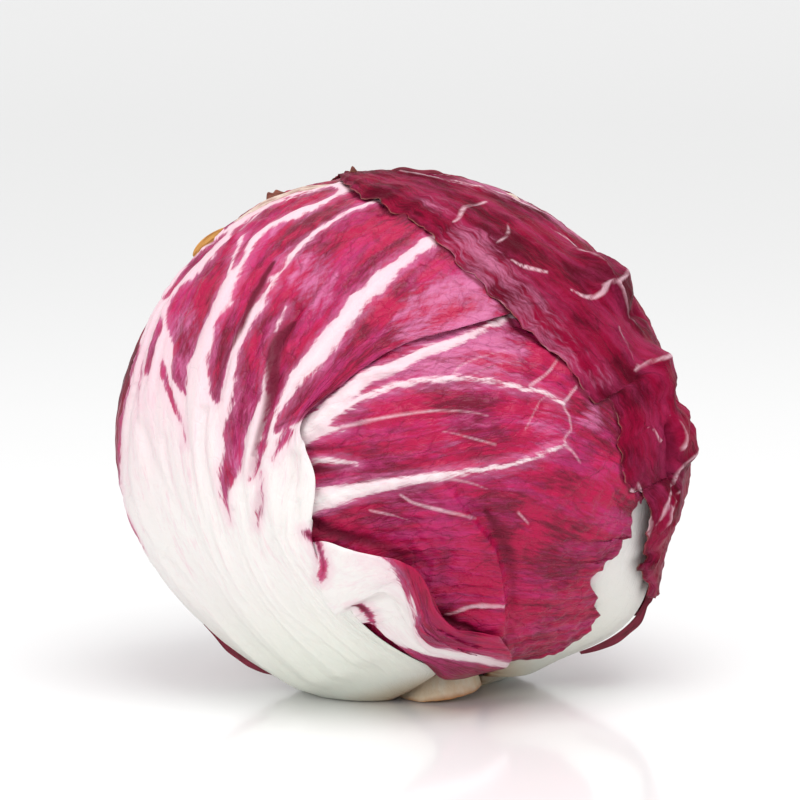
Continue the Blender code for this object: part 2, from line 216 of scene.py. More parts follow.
def step(value, start, end):
    """0 up to the start, 1 from the end on, and 3t^2 - 2t^3 between."""
    part = np.clip((value - start) / (end - start), 0, 1)
    return part * part * (3 - 2 * part)


def bumps(directions, table, power=2):
    """Sum of height * exp(-(angle / spread)^power) over a table of place, spread and height. With
    a power of 4 they are round lobes with flat tops."""
    total = np.zeros(directions.shape[:-1])
    for place, spread, height in table:
        total += height * np.exp(-((degrees_from(place, directions) / spread) ** power))
    return total


def drift(places, wavelength, seed, terms=14):
    """Smooth random field, about -1 to 1: a mean of sine waves with random headings and phases,
    whose crests are about one wavelength apart."""
    draw = np.random.default_rng(seed)
    headings = unit(draw.normal(size=(terms, places.shape[-1])))
    headings *= math.tau / wavelength * draw.uniform(0.7, 1.4, (terms, 1))
    phases = draw.uniform(0, math.tau, terms)
    return np.sin(places @ headings.T + phases).mean(axis=-1) * 2.2


def frayed(places, reach, waves, seed, fray):
    """The line swung to both sides by two unlike sine waves, up to `reach` degrees, and then by
    finer random waves, up to about `fray` degrees."""
    line = unit(smooth_line(places, FRAY_DOTS))
    part = np.linspace(0, 1, len(line))
    across = unit(np.cross(np.gradient(line, axis=0), line))
    swing = 0.6 * np.sin(waves * math.tau * part) + 0.4 * np.sin(1.7 * waves * math.tau * part + 1)
    swing = reach * swing * step(part, 0, 0.15) * step(1 - part, 0, 0.1)
    for octave in range(FRAY_OCTAVES):
        fine = drift(part[:, None], FRAY_WAVE / 2**octave, seed + octave, 6)
        swing = swing + fray * 0.6**octave * fine * step(part, 0, 0.1)
    return line + across * np.radians(swing)[:, None]


# %% [markdown]
# ## Guide lines of the leaves
#
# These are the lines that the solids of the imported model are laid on, left to right, so that each
# fine sheet stays where its solid is. A pair of numbers is one point.

# %% The leaves' guide lines, the curled lobe and the body's swellings
SWELLINGS = (
    (front(-15, -82), 20, 3.1),
    (front(-58, -68), 15, 0.6),
    (by_stem(9, 50), 14, -4.4),
    (front(74, 52), 34, -4.2),
    (front(88, 14), 17, -3.2),
    (front(82, -36), 12, -3.4),
    (front(66, -60), 15, 3.6),
    (front(-74, 52), 35, 1.8),
    (front(-38, 82), 15, 0.9),
    (front(-92, -14), 28, 2.6),
)

CROWN_EDGE = seen(
    74,-52, 69,-50, 65.5,-48.5, 65,-44, 61,-40.5, 57.5,-36, 61.5,-34, 58,-31.5, 57,-23, 56,-17, 52.5,-13,
    50.5,-13.5, 47.5,-8.5, 48,-4.5, 46.5,-1.5, 47,3.5, 46,6.5, 44,9.5, 41.5,9, 39,9.5, 35.5,15.5, 32.5,19,
    28.5,22.5, 26.5,24, 23.5,27, 20.5,30.5, 17,35.5, 12,40.5, 9.5,46, 6.5,48, 3,54, -1,58.5, -4.5,59.5,
    -8,65, -13,68.5, -19,80
)
RIGHT_MARGIN = seen(
    55.5,-15, 53,-18.5, 52,-19.5, 53,-26.5, 50,-26, 50,-29, 48.5,-31.5, 46.5,-31.5, 45.5,-34.5, 42.5,-36,
    42.5,-38.5, 46.5,-44, 45.5,-46, 48.5,-50, 47,-53, 47,-55.5, 44.5,-59, 43,-61, 41,-64
)

LEFT_EDGE = (
    grown(COLLAR,-30) + seen(7,-67, 4,-61, -8,-49, -14,-40, -20,-24, -19,-9,
    -22,3) + seen(-14,12, -2,21, 12,26, 24,31, 34,38)
)
LEFT_LEAF = (
    frayed(grown(COLLAR,-112) + seen(-34,-86, -67,-57, -79,-16, -77.5,-3, -76,8, -73.5,16, -71.5,27,
        -68.5,42) + seen(-54,64, -26,96), 0.5, 9, seed=11, fray=0.5),
    grown(COLLAR,-84) + seen(-28,-74, -48,-46, -59,-14, -62,12, -58,40, -42,68, -18,94),
    grown(COLLAR,-62) + seen(-21,-66, -38,-42, -46,-15, -47,10, -43,36, -30,62, -6,86),
    grown(COLLAR,-44) + seen(-14,-60, -31,-40, -38,-18, -39,4, -34,28, -20,51, 3,72),
    grown(COLLAR,-28) + seen(-5,-59, -21,-38, -29,-20, -27,-2, -17,18, -2,38, 14,55),
    LEFT_EDGE,
)
RIGHT_LEAF = (
    seen(-24,18, -6,30, 16,34, 38,28, 54,14),
    seen(-28,8, -6,14, 16,16, 38,10, 56,-4),
    seen(-30,-8, -2,-4, 24,0, 44,-6, 55,-18),
    seen(-28,-26, -5,-20, 20,-18, 38,-24, 48,-24),
    seen(-22,-48, 0,-36, 20,-34, 41,-35),
    grown(COLLAR + 2,-34) + seen(0,-52, 20,-48, 36,-46, 44,-44),
    grown(COLLAR,-14, COLLAR,18) + seen(22,-72, 31,-69, 36,-67, 41,-64),
)
CROWN_LEAF = (
    frayed(grown(COLLAR,130, 30,128, 42,114) + CROWN_EDGE + grown(172,-60), 0, 1, seed=21, fray=0.4),
    grown(COLLAR,138, 45,122, 80,94, 115,74, 150,55, 174,10, 170,-85),
    grown(COLLAR,150, 45,138, 80,126, 115,120, 150,115, 176,130, 168,-110),
    grown(COLLAR,168, 45,164, 80,162, 115,160, 145,165, 166,200, 160,240),
    frayed(grown(COLLAR,186, 45,186, 80,190, 115,194, 140,204, 154,222), 1.6, 8, seed=22, fray=0.6),
)
SIDE_LEAF = (
    grown(COLLAR,28, 40,38, 70,40, 94,42),
    grown(COLLAR,70, 40,74, 70,70, 100,66),
    frayed(grown(COLLAR,128, 24,127, 36,119, 44,108, 70,96, 94,92), 1.6, 5, seed=31, fray=0.7),
)
OUTLINE_LEAF = (
    frayed(grown(COLLAR,-162, 40,-150, 80,-142, 120,-138, 162,-136), 1.8, 7, seed=41, fray=0.8),
    grown(COLLAR,-130, 40,-114, 80,-102, 120,-100, 164,-104),
    grown(COLLAR,-96, 40,-82, 80,-62, 120,-62, 158,-72),
)
BACK_LEAF = (
    grown(COLLAR,160, 40,166, 80,172, 120,174, 165,140),
    grown(COLLAR,192, 40,194, 80,196, 120,200, 160,204, 166,0),
    grown(COLLAR,224, 40,230, 80,236, 120,244, 150,268, 168,320),
)
# The lobe's points are right,up,lift in millimetres,degrees inside the white part.
LOBE = (
    (-25,-29.5,-0.6,3, -20,-27,-1.2,3, -14.5,-30,-1.6,3, -8.5,-32,-2,2, -3,-34,-2.2,0, 1,-38.5,-2.2,-3,
     3,-43.5,-2,-4, 6,-49,-1.5,-4, 11,-55,-1,-4, 16,-58,-0.6,-4, 27,-74.5,-0.4,-4),
    (-23.5,-25.5,-0.5,3, -18,-23.5,0.9,2.2, -12.5,-24.5,2.2,1.8, -7.5,-25.5,3,0.3, -2.5,-26.5,3.2,-1.5,
     1.5,-29,3.2,-4, 4,-34,3,-4, 6,-40,2.6,-4, 10,-45,2.6,-4, 14.5,-46.5,2.8,-4, 19.5,-49,2.6,-4),
    (-25,-31,-0.6,3, -18,-28.5,1.4,2.4, -12.5,-28,2.6,2, -7.5,-27,3.5,1.2, -3,-28.5,3.7,0,
     0,-31.5,3.7,-1.5, 2,-37,3.3,-2, 5,-43.5,2.9,-4, 10,-48,2.9,-4, 15,-49,3,-4, 21.5,-51.5,2.8,-4),
    (-26.5,-38,-0.6,5, -18.5,-35,1.2,3, -13,-33,2.4,2.2, -7.5,-30.5,3.5,1.8, -3.5,-30,3.7,0.6,
     -1,-32.5,3.6,-0.8, 1,-38,3.2,0.2, 3.5,-45.5,2.8,-2.5, 9,-50,2.8,-2, 15.5,-51.5,3,-2,
     23.2,-54.5,2.8,-3),
    (-27.5,-45,-0.6,6, -19.5,-43.5,0.6,5, -14,-39.5,1.6,3, -8,-35,2.8,2.2, -4,-33,3.1,1.6,
     -1.5,-35,3.1,1.4, 0,-40,2.8,0.9, 3,-48,2.6,-1.2, 9,-51,2.7,-0.5, 15.5,-53.5,2.9,0.1,
     24.2,-58.5,2.6,-1),
    (-27.5,-47.5,-0.7,6, -19,-46,0,6, -13,-42.5,0.4,3.5, -8,-38,1.2,2.4, -4.5,-36.5,1.6,2.5,
     -2.5,-39,1.6,2.5, -0.5,-43,1.6,2, 2.5,-50,1.9,0.7, 8.5,-53,2.3,2, 15.5,-56,2.7,1, 24.3,-63,2.4,0.2),
    (-26,-49.5,-0.7,6, -17.5,-47,-0.1,4, -11.5,-44,0.4,3, -7.5,-42,0.9,5, -4.5,-41.5,1.3,5, -3,-44,1.4,3,
     -0.5,-48,1.6,2, 3,-52.5,2,2, 9,-55.5,2.3,-0.6, 15.5,-59.5,2.6,-2, 23.4,-67,2.2,-3),
    (-25,-51.5,-0.8,5, -16,-48.5,-0.2,1, -11,-46,0.2,-2, -8,-45.5,0.8,1, -5.5,-48.5,1.1,1,
     -2.5,-51.5,1.2,-0.5, 0.5,-55,1.3,-3, 4,-58.5,1.4,-4, 8.5,-67.5,1.6,-4, 15.5,-76,1.6,-4,
     21.5,-75,1.6,-4),
)

# %% [markdown]
# ## Ribs as rows of dots
#
# A rib is a line with a half width and a height at each point, both falling from its root to its
# end. Spread out as dots, hundreds of ribs and veins are one array, and two questions answer
# everything: how far inside the nearest rib is a place, and how high does it stand there.

# %% Dots, their reach and their height
DOTS_PER_RIB = 100
DOTS_PER_VEIN = 30
RIB_FALL = 0.65  # share of its height that a rib loses towards its end
BLOCK = 4000  # directions that are compared with all dots at once
CHART_ROUNDS = 6
VEIN_START, VEIN_END = 0.12, 0.97  # the part of a rib that side veins leave from
VEIN_SHIFT = 0.4  # how far a vein is moved along the rib, as a share of the gap
VEIN_LEAN = 14  # how much its angle varies, in degrees
VEIN_WOBBLE = 0.006  # how far it waves to both sides, in radians


def rib(places, halves, height):
    """Dots (x, y, z, half width, height) on the line through the places. The half widths are
    spread evenly along it."""
    line = unit(smooth_line(places, DOTS_PER_RIB))
    part = np.linspace(0, 1, DOTS_PER_RIB)
    half = np.interp(part, np.linspace(0, 1, len(halves)), halves)
    return np.column_stack([line, half, height * (1 - RIB_FALL * part)])


def ribs(*table):
    """The dots of several ribs, each given as its places, half widths and height."""
    return np.vstack([rib(seen(*places), halves, height) for places, halves, height in table])


def greatest(directions, dots, formula):
    """The greatest value of a formula over all dots, for each direction. The formula is given the
    squared chord between direction and dot, 2 - 2 cos(angle)."""
    flat = directions.reshape(-1, 3).astype(np.float32)
    places = dots[:, :3].astype(np.float32)
    found = np.empty(len(flat), np.float32)
    for start in range(0, len(flat), BLOCK):
        closeness = np.clip(flat[start : start + BLOCK] @ places.T, -1, 1)
        found[start : start + BLOCK] = formula(2 - 2 * closeness).max(axis=1)
    return found.reshape(directions.shape[:-1]).astype(float)


def inside(directions, dots):
    """Degrees that each direction lies inside the nearest dot's half width; negative outside."""
    half = dots[:, 3].astype(np.float32)
    return greatest(directions, dots, lambda chord: half - np.degrees(np.sqrt(chord)))


def mound(directions, dots, extra=0.0):
    """Greatest height * exp(-(angle / (half width + extra))^2) of any dot."""
    height = dots[:, 4].astype(np.float32)
    spread = (dots[:, 3] + extra).astype(np.float32)
    return greatest(
        directions, dots, lambda chord: height * np.exp(-(chord * np.degrees(1) ** 2) / spread**2)
    )


def chart(directions):
    """The (right, up) degrees that `front` turns into these directions. Its sum
    away = seen - nearness * sin(seen) is undone by a few rounds of seen = away + nearness * sin(seen)."""
    away = degrees_from(TO_VIEWER, directions)
    seen_angle = away
    for _ in range(CHART_ROUNDS):
        seen_angle = away + VIEW_NEARNESS * np.sin(np.radians(seen_angle))
    aside = np.stack([directions @ TO_RIGHT, directions @ TO_TOP], axis=-1)
    return aside * (seen_angle / np.maximum(np.sin(np.radians(away)), 1e-6))[..., None]


def patch(places, outline):
    """Degrees that each place of the chart lies inside a closed outline; negative outside. The
    distance is to the nearest side, and a place is inside where a ray crosses an odd number."""
    corners = np.reshape(outline, (-1, 2))
    line = smooth_line(np.vstack([corners, corners[:1]]), 3 * len(corners))
    start, span = line[:-1], np.diff(line, axis=0)
    offset = places[..., None, :] - start
    part = np.clip((offset * span).sum(-1) / (span**2).sum(-1), 0, 1)
    distance = np.linalg.norm(offset - part[..., None] * span, axis=-1).min(axis=-1)
    height = places[..., 1, None]
    spans = (start[:, 1] > height) != (line[1:, 1] > height)
    rise = np.where(span[:, 1] == 0, 1, span[:, 1])
    crossing = start[:, 0] + span[:, 0] * (height - start[:, 1]) / rise
    odd = (spans & (places[..., 0, None] < crossing)).sum(axis=-1) % 2 == 1
    return np.where(odd, distance, -distance)


def side_veins(dots, seed, gap=4.0, reach=11.0, angle=34.0, root=0.45, taper=0.65):
    """Thin veins that leave a rib on both sides by turns and bend towards its end:
    start + heading * s + rib direction * bend * s^2, for s from 0 to the vein's length."""
    draw = np.random.default_rng(seed)
    line = dots[:, :3]
    tangent = unit(np.gradient(line, axis=0))
    length = np.degrees(np.linalg.norm(np.diff(line, axis=0), axis=1).sum())
    made = []
    for start in np.arange(VEIN_START, VEIN_END, gap / length):
        for side in (-1, 1):
            place = np.clip(start + draw.uniform(-VEIN_SHIFT, VEIN_SHIFT) * gap / length, 0, 1)
            index = int(place * (len(line) - 1))
            across = np.cross(tangent[index], line[index])
            lean = angle + draw.uniform(-VEIN_LEAN, VEIN_LEAN)
            heading = cosine(lean) * tangent[index] + side * sine(lean) * across
            far = np.radians(reach * draw.uniform(0.5, 1.2))
            run = np.linspace(0, far, DOTS_PER_VEIN)[:, None]
            bend = tangent[index] * draw.uniform(-0.6, 1.6) * run**2
            wave = np.sin(run / far * draw.uniform(5, 9) + draw.uniform(0, 6))
            wobble = across * VEIN_WOBBLE * wave * run / far
            half = root * (1 - taper * run / far)
            made.append(np.hstack([unit(line[index] + heading * run + bend + wobble), half, 0 * half]))
    return np.vstack(made)


# %% [markdown]
# ## Camera
#
# The photo looks at the head from a little above, from about 0.9 m away. The lens comes from the
# scale in the photo, 0.21 mm for one pixel, and the small shift puts the head's middle where it is
# in the frame.

# %% Camera
FRAME_PIXELS = 800
MIDDLE_PIXEL = (410, 437)
MM_PER_PIXEL = 0.21
CAMERA_DISTANCE = 900.0
SENSOR = 36.0


def new_object(name, data):
    """An object that shows the data, in the scene."""
    made = bpy.data.objects.new(name, data)
    bpy.context.scene.collection.objects.link(made)
    return made


camera = new_object("camera", bpy.data.cameras.new("camera"))
camera.location = (MIDDLE + TO_VIEWER * CAMERA_DISTANCE) * MM
camera.rotation_euler = Vector(-TO_VIEWER).to_track_quat("-Z", "Y").to_euler()
camera.data.sensor_width = SENSOR
camera.data.lens = CAMERA_DISTANCE / (MM_PER_PIXEL * FRAME_PIXELS) * SENSOR
camera.data.shift_x = (FRAME_PIXELS / 2 - MIDDLE_PIXEL[0]) / FRAME_PIXELS
camera.data.shift_y = (MIDDLE_PIXEL[1] - FRAME_PIXELS / 2) / FRAME_PIXELS
bpy.context.scene.camera = camera
print("lens mm", round(camera.data.lens, 1))

# %% [markdown]
# ## Heights of the leaves
#
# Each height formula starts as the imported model's own and adds what a fine sheet can carry: ribs
# with the photo's own lines, creases beside them, blades puffed up between the side veins, and
# long flutes on the white bases. A rib's row holds its places, its half widths and its height.

# %% Lines and patches traced on the two front leaves, in degrees of the front chart
LEFT_RIBS = ribs(
    ((-30,-72, -54,-50, -68,-23, -68,-1, -63,17, -63,34, -56,46, -46,58, -32,72), (3, 3, 2.4, 1.8, 1,
      0.8), 1.2),
    ((-24,-66, -36,-50, -44,-25, -48,-3, -48,14, -46,28, -43,40, -40,50, -34,58, -20,69), (3, 3, 2.6, 2.2,
      1.4, 1.4), 1.5),
    ((-18,-62, -28,-45, -38,-22, -43,-1, -40,9, -38,22, -33,34, -27,43, -18,55, -8,64), (3, 2.6, 2, 1.5,
      0.8, 0.6), 1.5),
    ((-16,-58, -25,-39, -34,-14, -32,2, -30.5,13.5, -29,24, -26,33), (2, 1.6, 0.6, 0.3), 0.9),
    ((-12,-56, -21,-36, -29,-12, -28,2, -25,11.5, -20.5,17.5, -15.5,25, -10.5,31.5, -6.5,37, -1,42.5,
      4,49), (3, 2.6, 2.2, 1.6, 1.3, 1.3), 1.5),
)
THIN_RIBS = ribs(
    ((-32,0, -30.5,8.5, -30.5,13.5, -30,18, -29.5,22, -28.5,27, -27,31.5), (1.1, 0.6, 0.3, 0.1), 0),
    ((-43.5,57.5, -43.5,50.5, -43,43.5, -44.5,36.5), (0.3, 0.5, 0.6), 0),
    ((-66,36, -64,39.5, -59,46.5, -54.5,51, -52,54.5, -50.5,58.5, -49,63), (1.2, 0.8, 0.9, 0.7, 0.3), 0),
    ((-45.5,61, -42,68, -35,73, -26,77), (0.3, 0.5, 0.3), 0),
)
WEDGES = (
    (-64,34, -65,29, -65,24, -66,20, -64,16, -63,20, -63,24, -62,29, -63,34),
    (-62,37, -61,40, -57,44, -53,48, -50,52, -48.5,58, -48,63, -45.5,64, -44,58, -43,52, -43,47, -44,42,
     -45,37, -46,33, -47,30, -48,27, -49,24, -50,21, -51,18, -51,14, -52,11, -55,15, -56,17, -56,21,
     -57,25, -60,30),
    (-67.5,42, -64,47.5, -61,53, -57,58.5, -52,63, -50.5,61, -53.5,56, -56,52.5, -60.5,48, -65.5,41),
    (-42,44, -43.5,50, -44,56, -46,61, -45,66, -40,70, -33,75, -25,78, -20,76, -21,71, -23,68, -29,65,
     -33,62, -37,59, -40,55, -40,50, -41,45),
    (-16,74, -17,72, -22,66, -28,61, -32,59, -36,55, -38,50, -39,45, -41,38, -41,34, -43,31, -44,27,
     -44,23, -45,20, -45,17, -44,13, -44,10, -42,8, -41,9, -41.5,11, -40.5,13.5, -40.5,16, -40,19,
     -39.5,21.5, -39,24, -37.5,26.5, -36.5,29.5, -35.5,32, -34,35, -33,37.5, -32,40.5, -30,43.5, -28.5,47,
     -26.5,50, -24,53.5, -20.5,57, -16.5,61, -12,65, -9,67.5, -9,71),
    (-7.5,64.5, -11.5,63.5, -15,60.5, -18.5,56.5, -22,53, -24,49.5, -26.5,46.5, -27.5,43.5, -29,40.5,
     -30,37.5, -31.5,34.5, -32.5,31.5, -34,29, -35,26.5, -36,24, -37,21, -37,18.5, -37.5,16, -37.5,13.5,
     -37.5,11, -38,8.5, -38.5,6, -40,1, -40,-4, -41,-8, -41,-11, -40,-13, -39,-11, -37,-8, -36,-4, -35,2,
     -34,4, -32,8, -31,9, -31,4, -32,-2, -33,-7, -34,-10, -32,-6, -30,-2, -29,2, -28,5, -27,8, -26,11,
     -25,14, -21,20.5, -16.5,27, -14,31, -13,34, -10,36, -8,39.5, -3.5,43.5, 0.5,47.5, 3,50.5, 6,52, 9,55,
     3,62, -3,66),
    (12,53, 5.5,47.5, 2,44.5, -2.5,39.5, -5.5,35, -8.5,31.5, -11,27.5, -14.5,22, -18,16.5, -22.5,12,
     -25,8, -26.5,5.5, -27,3, -28,1, -27,1, -25,2, -22,4, -19,5, -16,6, -11,11, -5,16, 8,21, 17,24, 27,28,
     24,37, 17,46),
)
# The short fold in the white base, above the lobe.
SEAM = (-21,-21.5, -20,-22.5, -19,-24, -18.5,-26, -18,-28, -18,-30, -18.5,-32, -19,-33.5)
PINK_STREAKS = ribs(
    ((-59.5,19.5, -58,15, -55.5,9.5, -53,5, -51.5,1.5, -51,-1.5), (0.7, 0.5, 0.1), 0),
    ((-68.5,20.5, -68,15.5, -66,8), (0.6, 0.4, 0), 0),
    ((-40.5,-12, -40,-16.5, -39.5,-20.5), (0.7, 0.3, -0.2), 0),
    ((-31,-8, -31.5,-14, -32.5,-18.5, -33,-21.5), (0.2, 0.3, 0), 0),
    ((-24.5,1.5, -26.5,-2, -28,-5), (0.9, 0.6, 0), 0),
    ((-71,26, -73.5,16, -76,8, -77.5,-3, -79,-16), (0.6, 1.6, 1.9, 1.6, 0.9), 0),
    ((-79,-20, -77.5,-27, -74,-35), (0.2, 1.6, 0.2), 0),
    (SEAM, (0.9, 0.8, 0.7, 0.7, 0.3), 0),
    ((-11,-39.5, -10,-40.5, -9,-42.5, -8,-45.5), (0.5, 1, 0.8, 0.3), 0),
)
LEFT_CREASES = ribs(
    ((-28.5,45, -32.5,38, -34,32, -36,26.5, -38.5,21, -40.5,12), (0.9, 1.3, 1), 1.1),
    ((-24.5,31, -27.5,24.5, -28.5,20.5, -28.5,12.5, -29,7.5, -31,0, -33.5,-8), (1, 1.4, 0.9, 0.6), 1.1),
    ((-21.5,-1, -23,-7, -23.5,-11), (0.6, 0.5, 0.3), 0.8),
    ((-20,-19, -19.2,-25, -18.7,-29.5, -19,-34), (0.5, 0.4, 0.2), 1),
)
LEFT_GROOVES = ribs(
    ((-45.5,6.5, -45.5,-9, -44,-17, -40.5,-27.5), (0.9, 1.3, 0.7), 0.9),
    ((-45,-15, -44,-28, -41,-37.5), (0.8, 1.1, 0.7), 0.7),
    ((-38.5,-17.5, -36.5,-30, -34,-40.5), (0.8, 1.1, 0.7), 0.7),
    ((-32.5,-6, -34,-10, -35.5,-15), (0.8, 0.9, 0.5), 1.1),
    ((-31.5,-13.5, -33.5,-24.5, -32.5,-34), (0.7, 1, 0.7), 0.8),
    ((-23.5,-4, -24,-10, -25.5,-16.5, -27,-24), (0.8, 0.9, 0.6), 1.3),
    ((-69,10, -64,-1.5, -59,-12.5, -52,-23, -47.5,-31.5, -38.5,-43), (0.9, 1.5, 1.4, 0.8), 0.8),
    ((-58,-0.5, -56.5,-11, -53.5,-20, -47.5,-31), (0.8, 1.2, 0.8), 0.7),
    ((-74.5,-15.5, -67,-29.5, -57,-41, -47.5,-53, -39.5,-62), (0.9, 1.4, 1.3, 0.8), 0.7),
    ((-51.5,11, -50,-0.5, -48,-13, -45,-23), (0.8, 1.2, 0.8), 0.7),
    ((-38.5,-9.5, -40,-15, -39,-25, -36.5,-36), (0.6, 1, 0.7), 0.7),
    ((-29,-24.5, -26.5,-36, -21,-46.5), (0.8, 1.3, 0.9), 0.7),
    ((-23,-14.5, -23.5,-22.5, -22.5,-31.5), (0.6, 1, 0.7), 0.7),
)
LEFT_SHADOWS = ribs(
    ((-32,45, -35,37, -37,28, -39,23, -40.5,20, -41.5,15, -42,10), (0.7, 1.2, 1.1, 0.9, 0.7), 1.5),
    ((-25.5,27.5, -28.5,23, -29.5,19, -29,12.5, -30,6, -31.5,1, -33,-4), (1, 1.6, 1.5, 1, 0.6), 1.6),
    (SEAM, (0.45, 0.45, 0.4, 0.2), 1),
    ((-12,-39.5, -10.5,-40.5, -9.5,-41.5, -8.5,-44), (0.5, 0.9, 0.7, 0.3), 1.3),
    ((-13.5,-40.5, -10.5,-38.5, -7,-37, -4,-36, -1.5,-38.5, 0,-42.5, 1.5,-46), (0.8, 1.5, 1.8, 1.6, 0.8),
      0.42),
    ((-41,56, -42,50, -42,45), (0.5, 0.6, 0.4), 0.9),
    ((-27,2.5, -23,4.5, -19,6), (0.3, 0.4, 0.4), 0.8),
)

RIGHT_RIBS = ribs(
    ((-26,-2, -22,1.5, -18.5,4.5, -14,9, -9,14, -3,16.5, 3,20, 8.5,22, 16.5,26.5, 21.5,29.5, 27,33), (2.4,
      2, 1.4, 1, 0.8, 0.7), 1.4),
    ((-22,1, -16,5, -10,9, -5.5,11, -1,12.5, 8.5,13.5, 16,13, 23,11.5, 28,10.5, 32.5,8), (1, 0.75, 0.6,
      0.55, 0.45, 0.3), 1.1),
    ((-26,-16, -19,-14.5, -12,-12.5, -2,-10, 6,-8.5, 18.5,-6.5, 27,-4, 32.5,-1.5), (3, 2.1, 1.3, 0.8, 0.6,
      0.4, 0.3), 1.5),
    ((-26,-1, -20,1.5, -14,2.5), (2.6, 1.6, 0.3), 0.4),
    ((-22,-6.5, -18,-5.5, -11.5,-6), (0.7, 0.6, 0.2), 0.4),
)
RIGHT_FINE = ribs(
    ((-14,2.5, -10,3.5, -3,5, 4,6, 11,6, 16,5), (0.5, 0.45, 0.35, 0.2), 0.4),
    ((25,12, 29.5,15.5, 32.5,19.5), (0.45, 0.3), 0.3),
    ((32.5,8, 36.5,12.5), (0.45, 0.35), 0.3),
    ((32.5,8, 34,5, 34.5,2, 32.5,-0.5), (0.35, 0.25, 0.3), 0.2),
    ((8.5,14, 11,17, 16.5,19.5, 23.5,21.5), (0.3, 0.25, 0.1), 0.2),
    ((32.5,-1.5, 35,-3.5, 37,-6), (0.4, 0.2), 0.2),
    ((6,-9, 9.5,-9.5, 13,-10.5, 16.5,-12), (0.5, 0.35, 0.1), 0.2),
    ((-2,-13, 1,-15, 6.5,-16.5, 11,-17.5, 14,-19), (0.3, 0.45, 0.5, 0.2), 0.3),
    ((-8.5,-17, -4,-18, 0,-19.5), (0.3, 0.3, 0.1), 0.2),
    ((23,-17.5, 25.5,-20.5), (0.3, 0.2), 0.1),
    ((17.5,-1.5, 9,1, 6.5,1.5), (0.3, 0.25, 0.15), 0.1),
    ((8,-44.5, 9.5,-44, 13,-42.5, 16.5,-41.5, 21,-41), (0.3, 0.6, 0.7, 0.5), 0.3),
    ((24,2, 27,8, 29,10), (0.2, 0.2), 0.1),
    ((12,14, 18,17, 25,18), (0.2, 0.1), 0.1),
)
RIGHT_SHADOWS = ribs(
    ((-24,-2.5, -21.5,-2.5, -18,-2.5, -14.5,-2), (1, 0.8, 0.4), 1.2),
    ((-23,-8, -20,-7.5, -16.5,-7.5, -13,-6.5), (1.4, 1, 0.4), 1.4),
    ((-26,-19, -21.5,-20, -15,-23.5, -8.5,-25.5, -1.5,-28, 3.5,-31), (2, 1.6, 1.8, 1.5), 1.3),
    ((-11,-10.5, -5,-9, -1,-7, 3.5,-3.5), (0.3, 0.45, 0.2), 0.8),
    ((7.5,-46, 12,-47, 16.5,-49.5, 21,-52.5, 23.5,-56), (0.7, 0.7, 0.6), 1.3),
    ((8,-29, 7,-33, 6,-38), (1.2, 1.6, 1), 0.6),
    ((16,-17, 19.2,-22.5, 21.6,-29, 23.3,-36, 23.6,-44), (0.5, 1.9, 1.9, 1.2, 0.5), 1),
)

ROLLED_EDGE = seen(-20,-24, -20,-16, -19,-9, -22,2)
HOLLOWS = spots(
    -12,-8,8,-1.8, 3,-26,13,-2.8, 13,-38,8,-2, -10,-25,6,-1.2
)
PLEAT = seen(22,-58, 22,-52.5, 22,-46, 21.5,-39.5, 20.5,-33.5, 19.5,-29.5, 18,-25, 13,-18)
PLEAT_FOOT = front(22, -60)
RUFFLES = spots(
    51.5,45.5,7.5,3.7, 62,18,6.5,3.6, 68.5,2,8,3.6, 63.5,-19.5,7,1.8, 62,37,4,-1,
    67,10.5,3.5,-1.6
)
RUFFLE_CRESTS = ribs(
    ((46,40, 51,42, 57,48, 67.5,56.5, 80,66), (0.8, 1.3, 1.7, 1.9), 0.9),
    ((52,17, 56,19.5, 61,21, 72,26, 88,30, 100,34), (0.8, 1.3, 1.7, 1.9), 0.9),
    ((64,-12, 66,-7, 74,-3, 88,2, 100,6), (0.8, 1.3, 1.7, 1.9), 0.9),
    ((63.5,-3, 64,1, 63,4, 60.5,6), (0.8, 0.9, 0.8), 1.1),
    ((61,-23, 62,-18, 67,-13, 71,-8.5), (0.7, 0.9, 0.8), 0.9),
    ((52,-11.5, 55,-17, 57.5,-23, 58,-31), (0.6, 0.8, 0.6), 0.6),
    ((58.5,-1, 56.5,2, 53.5,3, 53,6), (0.7, 0.7, 0.5), 0.8),
    ((43,53, 47,46, 49.5,41), (0.8, 0.7, 0.5), 0.8),
    ((50,40, 55.5,34, 63,27), (0.7, 0.9, 0.9), 0.8),
    ((49,29, 51,24, 53,17.5), (0.5, 0.6, 0.5), 0.5),
    ((-3,82, 8,76, 18,75.5, 28,71, 38,70, 50,74), (0.7, 0.9, 0.9, 0.7), 0.6),
)
RUFFLE_FURROWS = ribs(
    ((61,3, 62,-3, 63,-9.5, 64.5,-17), (0.8, 1.2, 1), 1.8),
    ((72,44, 62,39, 54,33), (2.4, 1.6, 0.8), 2),
    ((88,12, 76,12, 66,9), (2.4, 1.6, 0.8), 2),
    ((68,1, 74,6, 86,11), (0.8, 1, 0.8), 1.2),
)
CROWN_FINE = ribs(
    ((10,55, 11.5,57, 12.5,60, 14,62.5, 19.5,66), (0.2, 0.35, 0.3, 0.25), 0.2),
    ((23,44, 25.5,42.5, 28,42, 31.5,42), (0.3, 0.4, 0.3), 0.2),
    ((37,37.5, 40,36.5, 43.5,37, 47,39), (0.25, 0.4, 0.4), 0.2),
    ((20,49, 23,53, 24,58), (0.2, 0.25, 0.1), 0.1),
    ((9,80, 21,78, 34,74, 47,68), (0.2, 0.4, 0.5, 0.1), 0.3),
    ((18,84, 30,80, 44,75), (0.2, 0.4, 0.1), 0.4),
    ((37,62, 44,58, 50,51), (0.1, 0.4, 0.1), 0.2),
    ((51,-13.5, 53,-16.5, 55.5,-20.5, 57.5,-25.5), (0.4, 0.6, 0.2), 0.4),
    ((64.5,-11, 61.5,-15, 60,-19.5, 58.5,-23), (0.2, 0.3, 0.3, 0.1), 0.4),
)
